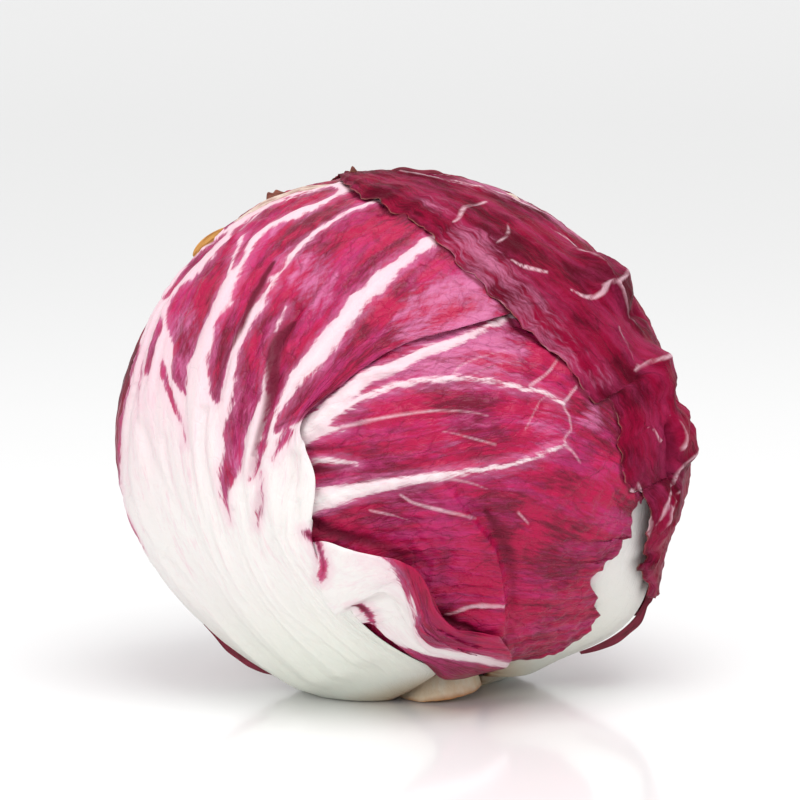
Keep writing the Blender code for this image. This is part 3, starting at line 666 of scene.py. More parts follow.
print("dots on ribs:", len(LEFT_RIBS), len(RIGHT_RIBS), len(RUFFLE_CRESTS))

# %% Puffed blades, fluted bases, and the heights of the six outer leaves
OUTLINE_AWAY = 84  # degrees from the viewer where the front left leaf turns out of sight
PUFF_REACH = 2.0  # how far beside a vein the blade is still drawn down, in degrees
WHITE_INSET = 0.15  # how far the white stands back from a crimson wedge, in degrees
ROLL_HEIGHT, ROLL_REACH = 1.4, 6  # the rolled right edge of the front left leaf
PLEAT_RISE, PLEAT_DROP = 2.0, 0.7  # the pleat of the front right leaf, left and right of its line
PLEAT_SLOPE, PLEAT_REACH = 0.8, 9  # degrees from the line to its full height, and to its fading
UNDER_CROWN = 0.7  # how far the front right leaf sinks where the crown leaf covers it
SHADOW_DEPTH = 0.6  # how deep its shadows are, as a share of their strength
CROWN_FALL = 0.07  # share of the crown leaf's width over which it falls to its edge
EDGE_WAVES, EDGE_WAVE_WIDTH, EDGE_WAVE_HEIGHT = 40, 0.025, 0.14
CROWN_BASE = ((by_stem(30, 118), 10, 4.0), (by_stem(16, 100), 8, 4.5))  # pressed in by so much
SIDE_BASE = ((by_stem(16, 104), 8, 2.6),)  # swollen by so much
LEFT_VEINS = side_veins(LEFT_RIBS, 101, gap=6.5, reach=16.0, angle=14.0, root=-0.2)
RIGHT_VEINS = side_veins(RIGHT_RIBS, 102, gap=8.0, reach=12.0, angle=15.0, root=-0.2)


def puffed(inside_vein, height):
    """Blade puffed up between veins: height * (0.5 - exp(-(distance / reach)^2))."""
    away = np.maximum(-inside_vein, 0)
    return height * (0.5 - np.exp(-((away / PUFF_REACH) ** 2)))


def flutes(fan, count, seed, height):
    """Long shallow folds that follow the ribs: random waves across the leaf that change slowly
    along it."""
    return height * drift(fan * (count, 1.4), 1.0, seed, 18)


def white_left(directions):
    """Degrees inside the white part: outside every crimson wedge and pink streak and the far end
    beyond the outline, or on a thin rib."""
    places = chart(directions)
    crimson = np.max([patch(places, outline) for outline in WEDGES], axis=0)
    hidden = np.where(places[..., 1] > 30, np.hypot(places[..., 0], places[..., 1]) - OUTLINE_AWAY, -9)
    white = np.maximum(-np.maximum(crimson, hidden) - WHITE_INSET, inside(directions, THIN_RIBS))
    return np.minimum(white, -inside(directions, PINK_STREAKS))


def left_height(directions, fan, white, vein):
    away, _ = nearest_on(directions, ROLLED_EDGE)
    height = mound(directions, LEFT_RIBS, 0.9) + ROLL_HEIGHT * np.exp(-((away / ROLL_REACH) ** 2))
    height -= mound(directions, LEFT_CREASES) + mound(directions, LEFT_GROOVES, 0.2)
    blade = 1 - step(white, -1, 1.5)
    height += blade * (puffed(vein, 0.5) - 0.2 + 0.22 * drift(directions, 0.055, 5))
    height += blade * flutes(fan, 34, 16, 0.12)
    return height + flutes(fan, 16, 6, 0.34) * step(fan[..., 1], 0.02, 0.2)


def pleat_height(directions):
    """A fold that stands up left of the pleat's line and drops to its right."""
    away, side = nearest_on(directions, PLEAT)
    height = np.where(side < 0, PLEAT_RISE, -PLEAT_DROP) * step(np.abs(side), 0, PLEAT_SLOPE)
    fading = 1 - bumps(directions, ((PLEAT_FOOT, PLEAT_REACH, 1.0),))
    return height * fading * np.exp(-((away / PLEAT_REACH) ** 2))


def right_height(directions, fan, white, vein):
    _, beside = nearest_on(directions, LEFT_EDGE)
    _, beyond = nearest_on(directions, CROWN_EDGE)
    height = LAYER * (step(beside, 2, 14) - 1) + bumps(directions, HOLLOWS) + pleat_height(directions)
    height -= UNDER_CROWN * step(beyond, 0.5, 3)
    height += mound(directions, RIGHT_RIBS, 0.8) + mound(directions, RIGHT_FINE, 0.5)
    height -= SHADOW_DEPTH * mound(directions, RIGHT_SHADOWS)
    height += puffed(vein, 0.6) + 0.3 * drift(directions, 0.05, 7) + 0.12 * drift(directions, 0.025, 17)
    return height + flutes(fan, 30, 8, 0.22)


def crown_height(directions, fan, white, vein):
    """Over both front leaves and their ribs. It falls and waves towards its edge, its first side."""
    across, along = fan[..., 0], fan[..., 1]
    under = mound(directions, LEFT_RIBS, 1.2) + mound(directions, RIGHT_RIBS, 1.2)
    height = LAYER * (0.3 + 0.7 * step(across, 0, CROWN_FALL)) + under + bumps(directions, RUFFLES, 4)
    height += mound(directions, RUFFLE_CRESTS) - mound(directions, RUFFLE_FURROWS)
    waves = np.sin(along * EDGE_WAVES * math.tau) * np.exp(-((across / EDGE_WAVE_WIDTH) ** 2))
    height += EDGE_WAVE_HEIGHT * waves
    height -= bumps(directions, CROWN_BASE)
    height += 0.25 * drift(directions, 0.11, 9) + 0.18 * drift(directions, 0.045, 10)
    return height + flutes(fan, 14, 12, 0.2)


def side_height(directions, fan, white, vein):
    _, beside = nearest_on(directions, SIDE_LEAF[1])
    height = 1.2 * step(beside, 8, 22) - LAYER + flutes(fan, 7, 13, 0.15)
    return height + bumps(directions, SIDE_BASE)


def under_height(depth, seed):
    """Height formula of a leaf so far under the outermost ones."""

    def height(directions, fan, white, vein):
        return flutes(fan, 9, seed, 0.14) + 0.1 * drift(directions, 0.07, seed + 1) - depth

    return height


# %% [markdown]
# ## Sheets in Blender
#
# A grid of points becomes a mesh of quads. Solidify gives it the thickness of a leaf, and every
# point carries what the finish needs: how far inside the white part it lies, how near a vein, how
# near the margin, how near the stump, how much painted shade it gets, and how much painted sheen, a
# mauve highlight laid into its colour. The map named fan runs across and along the leaf in
# millimetres, so that streaks in the finish follow the ribs.

# %% From grids of points to pieces
BLADE = 0.5  # thickness of a leaf, in millimetres
MARGIN = 3.0  # width of the margin in which a leaf gets thinner
MARGIN_LEVELS = 10
MARGIN_SHARE = 0.2  # thickness at the margin's end, as a share of the leaf's
# The painted sheen mark is capped at this strength.
FULL_SHEEN = 0.95
PLAIN_MARKS = {"white": -5.0, "vein": -5.0, "foot": 60.0, "shadow": 0.0, "painted_sheen": 0.0}


def level_off(height, floor):
    """The greater of height and floor, with a rounded change between the two."""
    mix = np.clip(0.5 + 0.5 * (height - floor) / SOFT_EDGE, 0, 1)
    return floor + (height - floor) * mix + SOFT_EDGE * mix * (1 - mix)


def place_on_head(directions, lift, floor):
    """Points: direction * (half size + lift + swellings) + middle, and none under the floor."""
    out = lift + bumps(directions, SWELLINGS)
    points = directions * (HALF_SIZE + out[..., None])
    points[..., 2] = level_off(points[..., 2], floor - MIDDLE[2])
    return points + MIDDLE


def fan_of(columns, rows):
    """Each grid point's share of the way across and along, both from 0 to 1."""
    across, along = np.meshgrid(np.linspace(0, 1, columns), np.linspace(0, 1, rows), indexing="ij")
    return np.stack([across, along], axis=-1)


def quads(columns, rows, wrap=False):
    """Corner numbers of a grid's quads. With wrap, the last column joins the first."""
    index = np.arange(columns * rows).reshape(columns, rows)
    if wrap:
        index = np.vstack([index, index[:1]])
    corners = (index[:-1, :-1], index[1:, :-1], index[1:, 1:], index[:-1, 1:])
    return np.stack([corner.ravel() for corner in corners], axis=1).tolist()


def closed_faces(columns, rows):
    """Faces of a ring of columns whose two ends close on two more points, the last ones."""
    faces = quads(columns, rows, wrap=True)
    first_end, last_end = columns * rows, columns * rows + 1
    for column in range(columns):
        here, beside = column * rows, (column + 1) % columns * rows
        faces += [[beside, here, first_end], [here + rows - 1, beside + rows - 1, last_end]]
    return faces


def make_mesh(name, points, faces, marks, fan=None):
    """A mesh from points in millimetres and faces, with one float for each mark at each point."""
    mesh = bpy.data.meshes.new(name)
    mesh.from_pydata((points.reshape(-1, 3) * MM).tolist(), [], faces)
    for mark, values in marks.items():
        layer = mesh.attributes.new(mark, "FLOAT", "POINT")
        values = np.broadcast_to(values, points.shape[:-1])
        layer.data.foreach_set("value", np.ravel(values).astype(np.float32))
    if fan is not None:
        corners = np.empty(len(mesh.loops), np.int32)
        mesh.loops.foreach_get("vertex_index", corners)
        layer = mesh.uv_layers.new(name="fan")
        layer.data.foreach_set("uv", fan.reshape(-1, 2)[corners].astype(np.float32).ravel())
    mesh.shade_smooth()
    return mesh


def add_piece(name, mesh, finish, node):
    piece = new_object(name, mesh)
    mesh.materials.append(finish)
    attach(piece, "root")
    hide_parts(node)
    return piece


def rim_distance(directions):
    """Millimetres to the leaf's own margin: its two sides and its far end. On this body a degree is
    about a millimetre."""
    margin = np.vstack([directions[0], directions[-1], directions[:, -1]])
    return -inside(directions, np.column_stack([margin, np.zeros(len(margin))]))


def thin_margin(piece, rim):
    """Solidify, thinner towards the margin. The share is a vertex group, filled in levels of the
    distance to the margin."""
    group = piece.vertex_groups.new(name="thickness")
    level = np.clip(np.ceil(rim.ravel() / MARGIN * MARGIN_LEVELS), 1, MARGIN_LEVELS)
    for number in range(1, MARGIN_LEVELS + 1):
        group.add(np.flatnonzero(level == number).tolist(), number / MARGIN_LEVELS, "REPLACE")
    wall = piece.modifiers.new("blade", "SOLIDIFY")
    wall.thickness = BLADE * MM
    wall.offset = -1
    wall.vertex_group = group.name
    wall.thickness_vertex_group = MARGIN_SHARE


def sheet(name, node, directions, lift, floor, finish, marks, lean=1.0):
    """A grid of directions laid at its lift as one piece, with its marks and its map."""
    points = place_on_head(directions, lift, floor)
    columns, rows = lift.shape
    width = lengths_along(points[:, rows // 2])[-1]
    length = lengths_along(points[columns // 2])[-1]
    fan = fan_of(columns, rows)
    fan[..., 0] **= lean
    marks = {**PLAIN_MARKS, **marks, "rim": rim_distance(directions)}
    mesh = make_mesh(name, points, quads(columns, rows), marks, fan * (width, length))
    thin_margin(add_piece(name, mesh, finish, node), marks["rim"])
    print(f"{name}: {width:.0f} mm wide, {length:.0f} mm long, {len(mesh.polygons)} quads")


def leaf(
    name, node, guides, size, floor, height, white, veins, finish,
    lean=1.0, margin=None, shadows=None, painted_sheen=(),
):
    """A leaf: directions from the loft, height from its formula, white part and veins as marks."""
    directions = loft(guides, *size, lean)[..., :3]
    if margin:
        directions = end_on(directions, *margin)
    marks = {
        "white": white(directions),
        "vein": inside(directions, veins),
        "foot": degrees_from(TO_STEM, directions),
        "shadow": 0.0 if shadows is None else mound(directions, shadows),
        "painted_sheen": np.minimum(bumps(directions, painted_sheen), FULL_SHEEN),
    }
    lift = height(directions, fan_of(*size), marks["white"], marks["vein"])
    sheet(name, node, directions, lift, floor, finish, marks, lean)


# %% [markdown]
# ## Finishes
#
# One recipe finishes every leaf. Where a point lies inside the white part it is waxy white, at the
# border it runs out in pink streaks along the fan, and outside it the blade is crimson, mottled
# with magenta, with a net of fine veins. On top of that it carries painted sheen, mauve highlights
# laid into its colour, and painted shade in its creases and hollows. Small classes keep the
# shader's sums readable: an expression on `Wire` values adds the Math nodes.

# %% Shader sums as expressions
class Wire:
    """An output socket that can stand in a sum. Each operator adds its Math node."""

    def __init__(self, recipe, socket):
        self.recipe = recipe
        self.socket = socket

    def math(self, operation, *values):
        return self.recipe.add("Math", {"operation": operation}, dict(enumerate(values)))

    def __add__(self, other):
        return self.math("ADD", self, other)

    def __sub__(self, other):
        return self.math("SUBTRACT", self, other)

    def __rsub__(self, other):
        return self.math("SUBTRACT", other, self)

    def __mul__(self, other):
        return self.math("MULTIPLY", self, other)

    __radd__ = __add__

    def rising(self, start, end):
        """0 up to the start, 1 from the end on, smooth between."""
        sockets = {"Value": self, "From Min": start, "From Max": end}
        return self.recipe.add("MapRange", {"interpolation_type": "SMOOTHSTEP"}, sockets)


class Recipe:
    """A material and the one method that adds a node to it."""

    def __init__(self, name):
        self.material = bpy.data.materials.new(name)
        self.material.use_nodes = True
        self.tree = self.material.node_tree
        self.shader = self.tree.nodes["Principled BSDF"]

    def feed(self, socket, value):
        if isinstance(value, Wire):
            self.tree.links.new(value.socket, socket)
        elif isinstance(value, tuple) and len(value) == 3 and len(socket.default_value) == 4:
            socket.default_value = (*value, 1)
        else:
            socket.default_value = value

    def add(self, kind, settings, sockets, output=0):
        """A node of that kind: its settings first, then values or links into its sockets."""
        node = self.tree.nodes.new("ShaderNode" + kind)
        for name, value in settings.items():
            setattr(node, name, value)
        for name, value in sockets.items():
            self.feed(node.inputs[name], value)
        return Wire(self, node.outputs[output])

    def finish(self, **sockets):
        for name, value in sockets.items():
            self.feed(self.shader.inputs[name.replace("_", " ")], value)
        return self.material

    def mark(self, name):
        return self.add("Attribute", {"attribute_name": name}, {}, 2)

    def fan(self):
        return self.add("UVMap", {"uv_map": "fan"}, {})

    def place(self):
        return self.add("TexCoord", {}, {}, 3)

    def blend(self, share, first, second):
        return self.add("Mix", {"data_type": "RGBA"}, {0: share, 6: first, 7: second}, 2)

    def noise(self, vector, size, detail=3.0, roughness=0.6):
        sockets = {"Vector": vector, "Scale": 1 / size, "Detail": detail, "Roughness": roughness}
        return self.add("TexNoise", {}, sockets)

    def scaled(self, vector, scale, offset=(0, 0, 0)):
        return self.add("Mapping", {}, {"Vector": vector, "Location": offset, "Scale": scale})

    def slanted(self, vector, angle, stretch):
        """The vector seen along a slanted line: turned back by the angle, its second part shrunk."""
        sockets = {"Vector": vector, "Rotation": (0, 0, angle), "Scale": (1, stretch, 1)}
        return self.add("Mapping", {"vector_type": "TEXTURE"}, sockets)

    def bump(self, height, distance):
        return self.add("Bump", {}, {"Height": height, "Distance": distance})


# %% The leaf recipe
DEEP = (0.15, 0.002, 0.022)
CRIMSON = (0.39, 0.004, 0.055)
MAGENTA = (0.56, 0.03, 0.19)
MAUVE = (0.53, 0.13, 0.28)
DARKEST = (0.12, 0.001, 0.018)
PINK = (0.74, 0.24, 0.42)
PALE_PINK = (0.72, 0.47, 0.54)
WAX_WHITE = (0.76, 0.725, 0.705)
GREEN_WHITE = (0.73, 0.745, 0.67)
BEIGE = (0.62, 0.50, 0.34)
RUST = (0.36, 0.14, 0.04)

# Each set runs deep, middle, bright, and the mauve of the pink fringe and of the painted sheen.
FRONT_TONES = (DEEP, CRIMSON, MAGENTA, MAUVE)
# The tones of the crown leaf, also used for the left and back leaves, are darker than the front ones:
# partly their own deeper red, partly painted shade, as these leaves get less light.
CROWN_TONES = ((0.08, 0.001, 0.010), (0.22, 0.002, 0.026), (0.35, 0.025, 0.095), (0.44, 0.12, 0.22))
FEATHER_ANGLE = 0.32  # radians to both sides of the fan


def leaf_finish(
    name, seed, tones=FRONT_TONES, veil=0.5, rough=0.28, shine=0.22, margin_tint=PINK, grain=1.0
):
    """The finish of a leaf: its four tones from deep to the mauve of its fringe and painted sheen, how
    much of the bright tone veils it, and how strong its streaks are."""
    deep, middle, bright, fringe_and_sheen_tone = tones
    recipe = Recipe(name)
    blend, noise, scaled = recipe.blend, recipe.noise, recipe.scaled
    fan, place = recipe.fan(), recipe.place()
    white, vein, rim, foot, shadow, painted_sheen = (
        recipe.mark(mark) for mark in ("white", "vein", "rim", "foot", "shadow", "painted_sheen")
    )

    # Streaks are noise stretched along the fan, in millimetres.
    streak = noise(scaled(fan, (1, 0.1, 1), (seed, 0, 0)), 1.6) * grain - 0.5 * grain
    wisp = noise(scaled(fan, (1, 0.16, 1), (0, seed, 0)), 0.45) * grain - 0.5 * grain
    flow = noise(scaled(fan, (1, 0.22, 1), (seed, seed, 0)), 5.0, 2.0, 0.5)
    feather = noise(recipe.slanted(fan, FEATHER_ANGLE, 8), 0.9)
    feather = feather + noise(recipe.slanted(fan, -FEATHER_ANGLE, 8), 0.9) - 1
    cloud = noise(scaled(place, (1, 1, 1), (seed, 0, 0)), 0.014, 3.0, 0.55)
    mottle = noise(scaled(place, (1, 1, 1), (0, seed, 0)), 0.0035, 4.0)

    # The fine net of veins: edges of Voronoi cells that are longer along the fan than across.
    bend = recipe.add("TexNoise", {}, {"Vector": fan, "Scale": 0.35, "Detail": 3.0}, 1)
    sockets = {0: bend, 1: (2.2, 2.2, 0), 2: scaled(fan, (1, 0.5, 1))}
    warp = recipe.add("VectorMath", {"operation": "MULTIPLY_ADD"}, sockets)
    cells = {"feature": "DISTANCE_TO_EDGE", "voronoi_dimensions": "2D"}
    coarse = recipe.add("TexVoronoi", cells, {"Vector": warp, "Scale": 0.24})
    fine = recipe.add("TexVoronoi", cells, {"Vector": warp, "Scale": 0.8})
    net = 1 - coarse.rising(0.0, 0.08)
    small_net = 1 - fine.rising(0.0, 0.12)

    border = white + streak * 1.1 + wisp + feather * 1.7
    whiteness = border.rising(-0.4, 0.45)
    fringe = border.rising(-2.4, 0.1)

    blade = blend((cloud + streak * 0.7 + feather * 0.3).rising(0.37, 0.63), middle, deep)
    brighter = flow + mottle * 0.4 + wisp * 0.5 + streak * 0.6
    blade = blend(brighter.rising(0.6, 0.95) * veil, blade, bright)
    # Painted sheen: a mauve highlight laid into the blade's colour where the sheen spots and the noise run
    # high.
    sheen = painted_sheen + (flow - 0.5) * 0.9 + streak * 1.1 + feather * 0.9 + (mottle - 0.5) * 0.5
    blade = blend(sheen.rising(0.5, 1.15) * 0.9, blade, fringe_and_sheen_tone)
    blade = blend((net * 0.42 + small_net * 0.18) * mottle.rising(0.35, 0.7), blade, deep)
    blade = blend(fringe * (0.5 + streak + feather * 0.6), blade, fringe_and_sheen_tone)
    blade = blend(vein.rising(-0.2, 0.5) * (0.75 + streak * 1.2), blade, PALE_PINK)
    edge = 1 - (rim + wisp * 0.6).rising(0.0, 0.4)
    blade = blend(edge * (0.1 + wisp * 2), blade, margin_tint)

    pith = blend(foot.rising(26, 62), GREEN_WHITE, WAX_WHITE)
    pith = blend((1 - border.rising(0.2, 2.6)) * 0.55, pith, PALE_PINK)
    flushed = (streak + wisp * 0.8).rising(0.0, 0.34) * foot.rising(36, 75)
    pith = blend(flushed * 0.6, pith, PALE_PINK)
    pith = blend(foot.rising(66, 118) * (0.8 + streak * 0.9), pith, PALE_PINK)
    pith = blend((1 - foot.rising(12, 22)) * 0.8, pith, BEIGE)
    pith = blend(1 - (foot + streak * 8).rising(9, 14), pith, RUST)

    colour = blend(whiteness, blade, pith)
    # Painted shade: creases, hollows, folds, the slit by the lobe and the line under the crown leaf's edge
    # are darkened towards DARKEST.
    colour = blend(shadow.rising(0.1, 1.1) * 0.95, colour, DARKEST)
    relief = net * -0.16 + small_net * -0.08 + wisp * 0.22 + streak * 0.4
    relief = relief * (1 - whiteness * 0.6) + mottle * 0.25
    return recipe.finish(
        Base_Color=colour,
        Roughness=rough + mottle * 0.16 + whiteness * 0.08 + shadow * 0.3,
        Normal=recipe.bump(relief, 0.0006),
        Specular_IOR_Level=shine,
        Subsurface_Weight=0.06,
        Subsurface_Radius=(0.6, 0.25, 0.2),
        Subsurface_Scale=0.003,
    )


# %% [markdown]
# ## The two front leaves and the curled lobe

# %% Front left leaf, with the white fan, and front right leaf
# Spots of painted sheen, a mauve highlight laid into the front leaves' colour: right, up, spread and
# strength.
FRONT_SHEEN_SPOTS = spots(
    8,31,9,0.7, 1,27,7,0.6, 16,34,8,0.6, -24,43,8,0.8, -20,33,6,0.6, -54,31,6,0.9,
    -44,27,5,0.7, -33,55,6,0.5, -24,62,6,0.5, 28,3.5,7,0.7, 40,5,4.5,0.9, 13,18,8,0.8, 2,17,7,0.5,
    22,20,6,0.6, -2,-13,8,0.5, 13,-40,6,0.4, 8,1,8,0.55, 20,-12,6,0.4, -52,18,5,0.7, -34,8,6,0.5,
    -40,-6,5,0.7
)
# Spots of painted sheen on the crown leaf, given the same way.
CROWN_SHEEN_SPOTS = spots(
    12,49,7,0.8, 18,40,7,0.75, 26,30,7,0.75, 34,21,6,0.65, 5,62,6,0.6, 42,14,4,0.6,
    21,79,8,0.9, 36,76,9,0.7, 48,68,6,0.9, 64,50,4,0.5, 72,27,4,0.5, 78,4,4,0.5, 65,-21,6,0.6
)
UNDER_EDGE_HALF = 0.8  # half width of the shadow under the crown leaf's edge, in degrees

edge_line = unit(smooth_line(CROWN_EDGE, EDGE_DOTS))
edge_shadow = np.column_stack([edge_line, np.full(EDGE_DOTS, UNDER_EDGE_HALF), np.ones(EDGE_DOTS)])


def on_ribs(dots, foot_reach=0.0):
    """White part: on the ribs, or nearer to the stump than so many degrees."""

    def white(directions):
        return np.maximum(inside(directions, dots), foot_reach - degrees_from(TO_STEM, directions))

    return white


front_finish = leaf_finish("front_leaf", 0.0)
leaf(
    "front_left_blade", "leaf_front_left", LEFT_LEAF, (190, 250), 0,
    left_height, white_left, LEFT_VEINS, front_finish,
    shadows=np.vstack([LEFT_SHADOWS, edge_shadow]), painted_sheen=FRONT_SHEEN_SPOTS,
)
leaf(
    "front_right_blade", "leaf_front_right", RIGHT_LEAF, (200, 235), LAYER,
    right_height, on_ribs(RIGHT_RIBS), np.vstack([RIGHT_FINE, RIGHT_VEINS]), front_finish,
    shadows=np.vstack([RIGHT_SHADOWS, edge_shadow]), painted_sheen=FRONT_SHEEN_SPOTS, margin=(RIGHT_MARGIN, 60),
)


# %% The curled lobe
LOBE_SIZE = (100, 200)
lobe_guides = [
    [(*front(right, up), lift, white) for right, up, lift, white in np.reshape(guide, (-1, 4))]
    for guide in LOBE
]
lobe_grid = loft(lobe_guides, *LOBE_SIZE)
lobe_directions, lobe_lift, lobe_white = lobe_grid[..., :3], lobe_grid[..., 3], lobe_grid[..., 4]
lobe_lift = lobe_lift + flutes(fan_of(*LOBE_SIZE), 9, 14, 0.16) + 0.1 * drift(lobe_directions, 0.06, 15)
sheet(
    "front_left_lobe", "leaf_front_left", lobe_directions, lobe_lift, 0, front_finish,
    {
        "white": np.minimum(lobe_white, -inside(lobe_directions, PINK_STREAKS)),
        "shadow": mound(lobe_directions, LEFT_SHADOWS),
    },
)

# %% [markdown]
# ## The other outer leaves
#
# Most of their ribs aren't seen in the photo, so they follow a rule: lines of the leaf's own loft,
# spread across it, the middle one the widest.

# %% Crown, right, left and back leaves
FAN_COLUMNS, FAN_ROWS = 101, 60
RIB_REACH = 0.92  # share of the leaf's length that its middle rib runs
RIB_REACH_LOSS = 0.25  # how much less for a rib at a side, for each share of the width


def fan_ribs(guides, shares, halves, height):
    """Ribs along the loft's own lines at these shares of its width, thinner and shorter towards its
    sides. Two slow waves let them sway a little, each in its own way."""
    grid = loft(guides, FAN_COLUMNS, FAN_ROWS)[..., :3]
    made = []
    for share in shares:
        stations = np.arange(int(FAN_ROWS * (RIB_REACH - RIB_REACH_LOSS * abs(share - 0.5))))
        sway = 1.2 * np.sin(stations * 0.16 + 9 * share) + 0.6 * np.sin(stations * 0.37 + 20 * share)
        columns = np.clip((FAN_COLUMNS - 1) * share + sway, 0, FAN_COLUMNS - 1).round().astype(int)
        size = 0.45 + 0.55 * math.sin(math.pi * share)
        made.append(rib(grid[columns, stations][::4], np.array(halves) * size, height * size))
    return np.vstack(made)


crown_finish = leaf_finish("crown_leaf", 3.7, CROWN_TONES, 0.6, 0.36, 0.04, BEIGE, 0.45)
crown_ribs = fan_ribs(CROWN_LEAF, (0.40, 0.55, 0.70, 0.84), (4.5, 2.3, 1.4, 1.0, 0.8, 0.6), 1.0)
crown_veins = side_veins(crown_ribs, 103, gap=14.0, reach=18.0, angle=36.0, root=0.68, taper=0.35)
crest_veins = RUFFLE_CRESTS * (1, 1, 1, 0.6, 1)
crest_veins[:, 3] *= np.tile(np.linspace(1, 0, DOTS_PER_RIB), len(RUFFLE_CRESTS) // DOTS_PER_RIB)
crown_veins = np.vstack([CROWN_FINE * (1, 1, 1, 1.6, 1), crest_veins, crown_veins])
leaf(
    "crown_blade", "leaf_crown", CROWN_LEAF, (212, 228), 0,
    crown_height, on_ribs(crown_ribs, 24), crown_veins, crown_finish,
    lean=1.2, shadows=RUFFLE_FURROWS * (1, 1, 1, 1, 0.45), painted_sheen=CROWN_SHEEN_SPOTS,
)
midrib = rib(SIDE_LEAF[1], (17, 15, 12), 0.8)
side_ribs = np.vstack([midrib, fan_ribs(SIDE_LEAF, (0.3, 0.7), (6, 8, 9, 9), 0.4)])


def white_side(directions):
    """White, but for a crimson strip along its free margin."""
    away, _ = nearest_on(directions, SIDE_LEAF[2])
    return np.minimum(on_ribs(side_ribs, 30)(directions), away - 1.6)


leaf(
    "right_blade", "leaf_right", SIDE_LEAF, (90, 140), 2 * LAYER,
    side_height, white_side, side_veins(side_ribs, 104), front_finish,
)
for side, guides, shares, depth, seed, vein_seed in (
    ("left", OUTLINE_LEAF, (0.1, 0.3, 0.5, 0.68), LAYER, 51, 105),
    ("back", BACK_LEAF, (0.1, 0.3, 0.5, 0.7, 0.9), 2 * LAYER, 61, 106),
):
    far_ribs = fan_ribs(guides, shares, (5, 3, 1.7, 1.1, 0.8), 0.7)
    veins = side_veins(far_ribs, vein_seed, 13.0, 13.0, root=0.62, taper=0.3)
    leaf(
        f"{side}_blade", f"leaf_{side}", guides, (115, 165), depth,
        under_height(depth, seed), on_ribs(far_ribs, 30), veins, crown_finish,
    )

# %% [markdown]
# ## Frills and dry flakes on the outline
#
# Here and there an outer leaf's margin stands off the head and shows on its outline as a thin
# crimson or dried strip. Each is a small sheet along a traced line, tallest near its middle.

# %% Frills and flakes
FRILL_SIZE = (60, 10)
FRILL_LEAN = 0.03  # how far a strip leans outwards, in radians
FRILL_ROOT = 0.6  # how deep it starts in its leaf, in millimetres


def frill(name, node, line, rise, seed, finish, peak, ragged):
    """A strip from the line outwards, rise * (1 - (2t - 1)^2) tall and then made ragged. t is the
    share of the way along the strip, bent so that it is 0.5 at the peak."""
    foot = unit(smooth_line(seen(*line), FRILL_SIZE[0]))
    outwards = unit(foot - (foot @ TO_VIEWER)[:, None] * TO_VIEWER)
    across = np.linspace(0, 1, FRILL_SIZE[1])[None, :, None]
    directions = unit(foot[:, None] + FRILL_LEAN * across * outwards[:, None])
    share = np.linspace(0, 1, FRILL_SIZE[0])
    along = share ** (math.log(0.5) / math.log(peak))
    tall = rise * (1 - (2 * along - 1) ** 2)
    tall *= 1 + ragged * drift(share[:, None], 0.4, seed)
    lift = -FRILL_ROOT + (FRILL_ROOT + tall)[:, None] * across[..., 0]
    sheet(name, node, directions, lift, 0, finish, {})


def dry_finish(name, light, dark):
    recipe = Recipe(name)
    fibre = recipe.noise(recipe.scaled(recipe.fan(), (0.15, 1, 1)), 0.7)
    colour = recipe.blend(fibre.rising(0.35, 0.7), light, dark)
    return recipe.finish(Base_Color=colour, Roughness=0.7, Normal=recipe.bump(fibre, 0.0004))


orange_dry = dry_finish("dry_orange", (0.62, 0.30, 0.07), (0.34, 0.11, 0.02))
brown_dry = dry_finish("dry_brown", (0.24, 0.07, 0.04), (0.10, 0.02, 0.015))
red_dry = dry_finish("dry_red", (0.20, 0.006, 0.03), (0.10, 0.002, 0.012))
pale_dry = dry_finish("dry_pale", (0.66, 0.55, 0.46), (0.42, 0.27, 0.22))
# Name, leaf, traced line, rise, seed, finish, place of the peak, raggedness.
FRILLS = (
    ("flake_orange", "left", (-62,57, -57.5,62, -52,67), 1.2, 1, orange_dry, 0.4, 0.0),
    ("flake_brown", "left", (-41,74, -38,76.5, -35,78), 1.8, 2, brown_dry, 0.35, 0.25),
    ("flake_tip", "crown", (-22,82, -18,84, -14,85), 2.4, 3, brown_dry, 0.75, 0.25),
    ("frill_pale", "left", (-52,66, -44,71, -34,77, -22,80), 0.8, 4, pale_dry, 0.5, 0.25),
    ("frill_top", "crown", (14,82, 26,79, 36,74, 45,67), 1.2, 5, pale_dry, 0.4, 0.7),
    ("frill_crest", "crown", (-12,84, 2,84, 16,83), 2.4, 8, red_dry, 0.5, 0.4),
    ("frill_low", "left", (-60,-60, -56,-66, -50,-71, -40,-76), 1.3, 6, red_dry, 0.65, 0.25),
    ("frill_right", "right", (73,-52, 66,-58, 58,-64, 50,-70), 1.2, 7, red_dry, 0.5, 0.25),
)
for name, side, line, rise, seed, finish, peak, ragged in FRILLS:
    slot = "white_rib" if side == "right" else "red_blade"
    frill(name, f"leaf_{side}", line, rise, seed, finish, peak, ragged)

# %% [markdown]
# ## Inner leaves and heart
#
# They only show between the outer leaves' bases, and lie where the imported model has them.

# %% Inner leaves and heart
INNER_DEPTHS = (5.6, 7.5, 9.4, 11.3)  # under the outermost leaves, in millimetres
INNER_FIRST, INNER_TURN = 30, 137.5  # turn of the first leaf, and from one to the next
INNER_SIDES = (-100, -50, 0, 50, 100)  # turns of the guide lines from the leaf's middle
INNER_TOP = 166  # how far from the stump its middle line runs, in degrees
INNER_TOP_LOSS = 0.16  # how much less for each degree to the side
inner_finish = leaf_finish("inner_leaf", 8.3, veil=0.8)

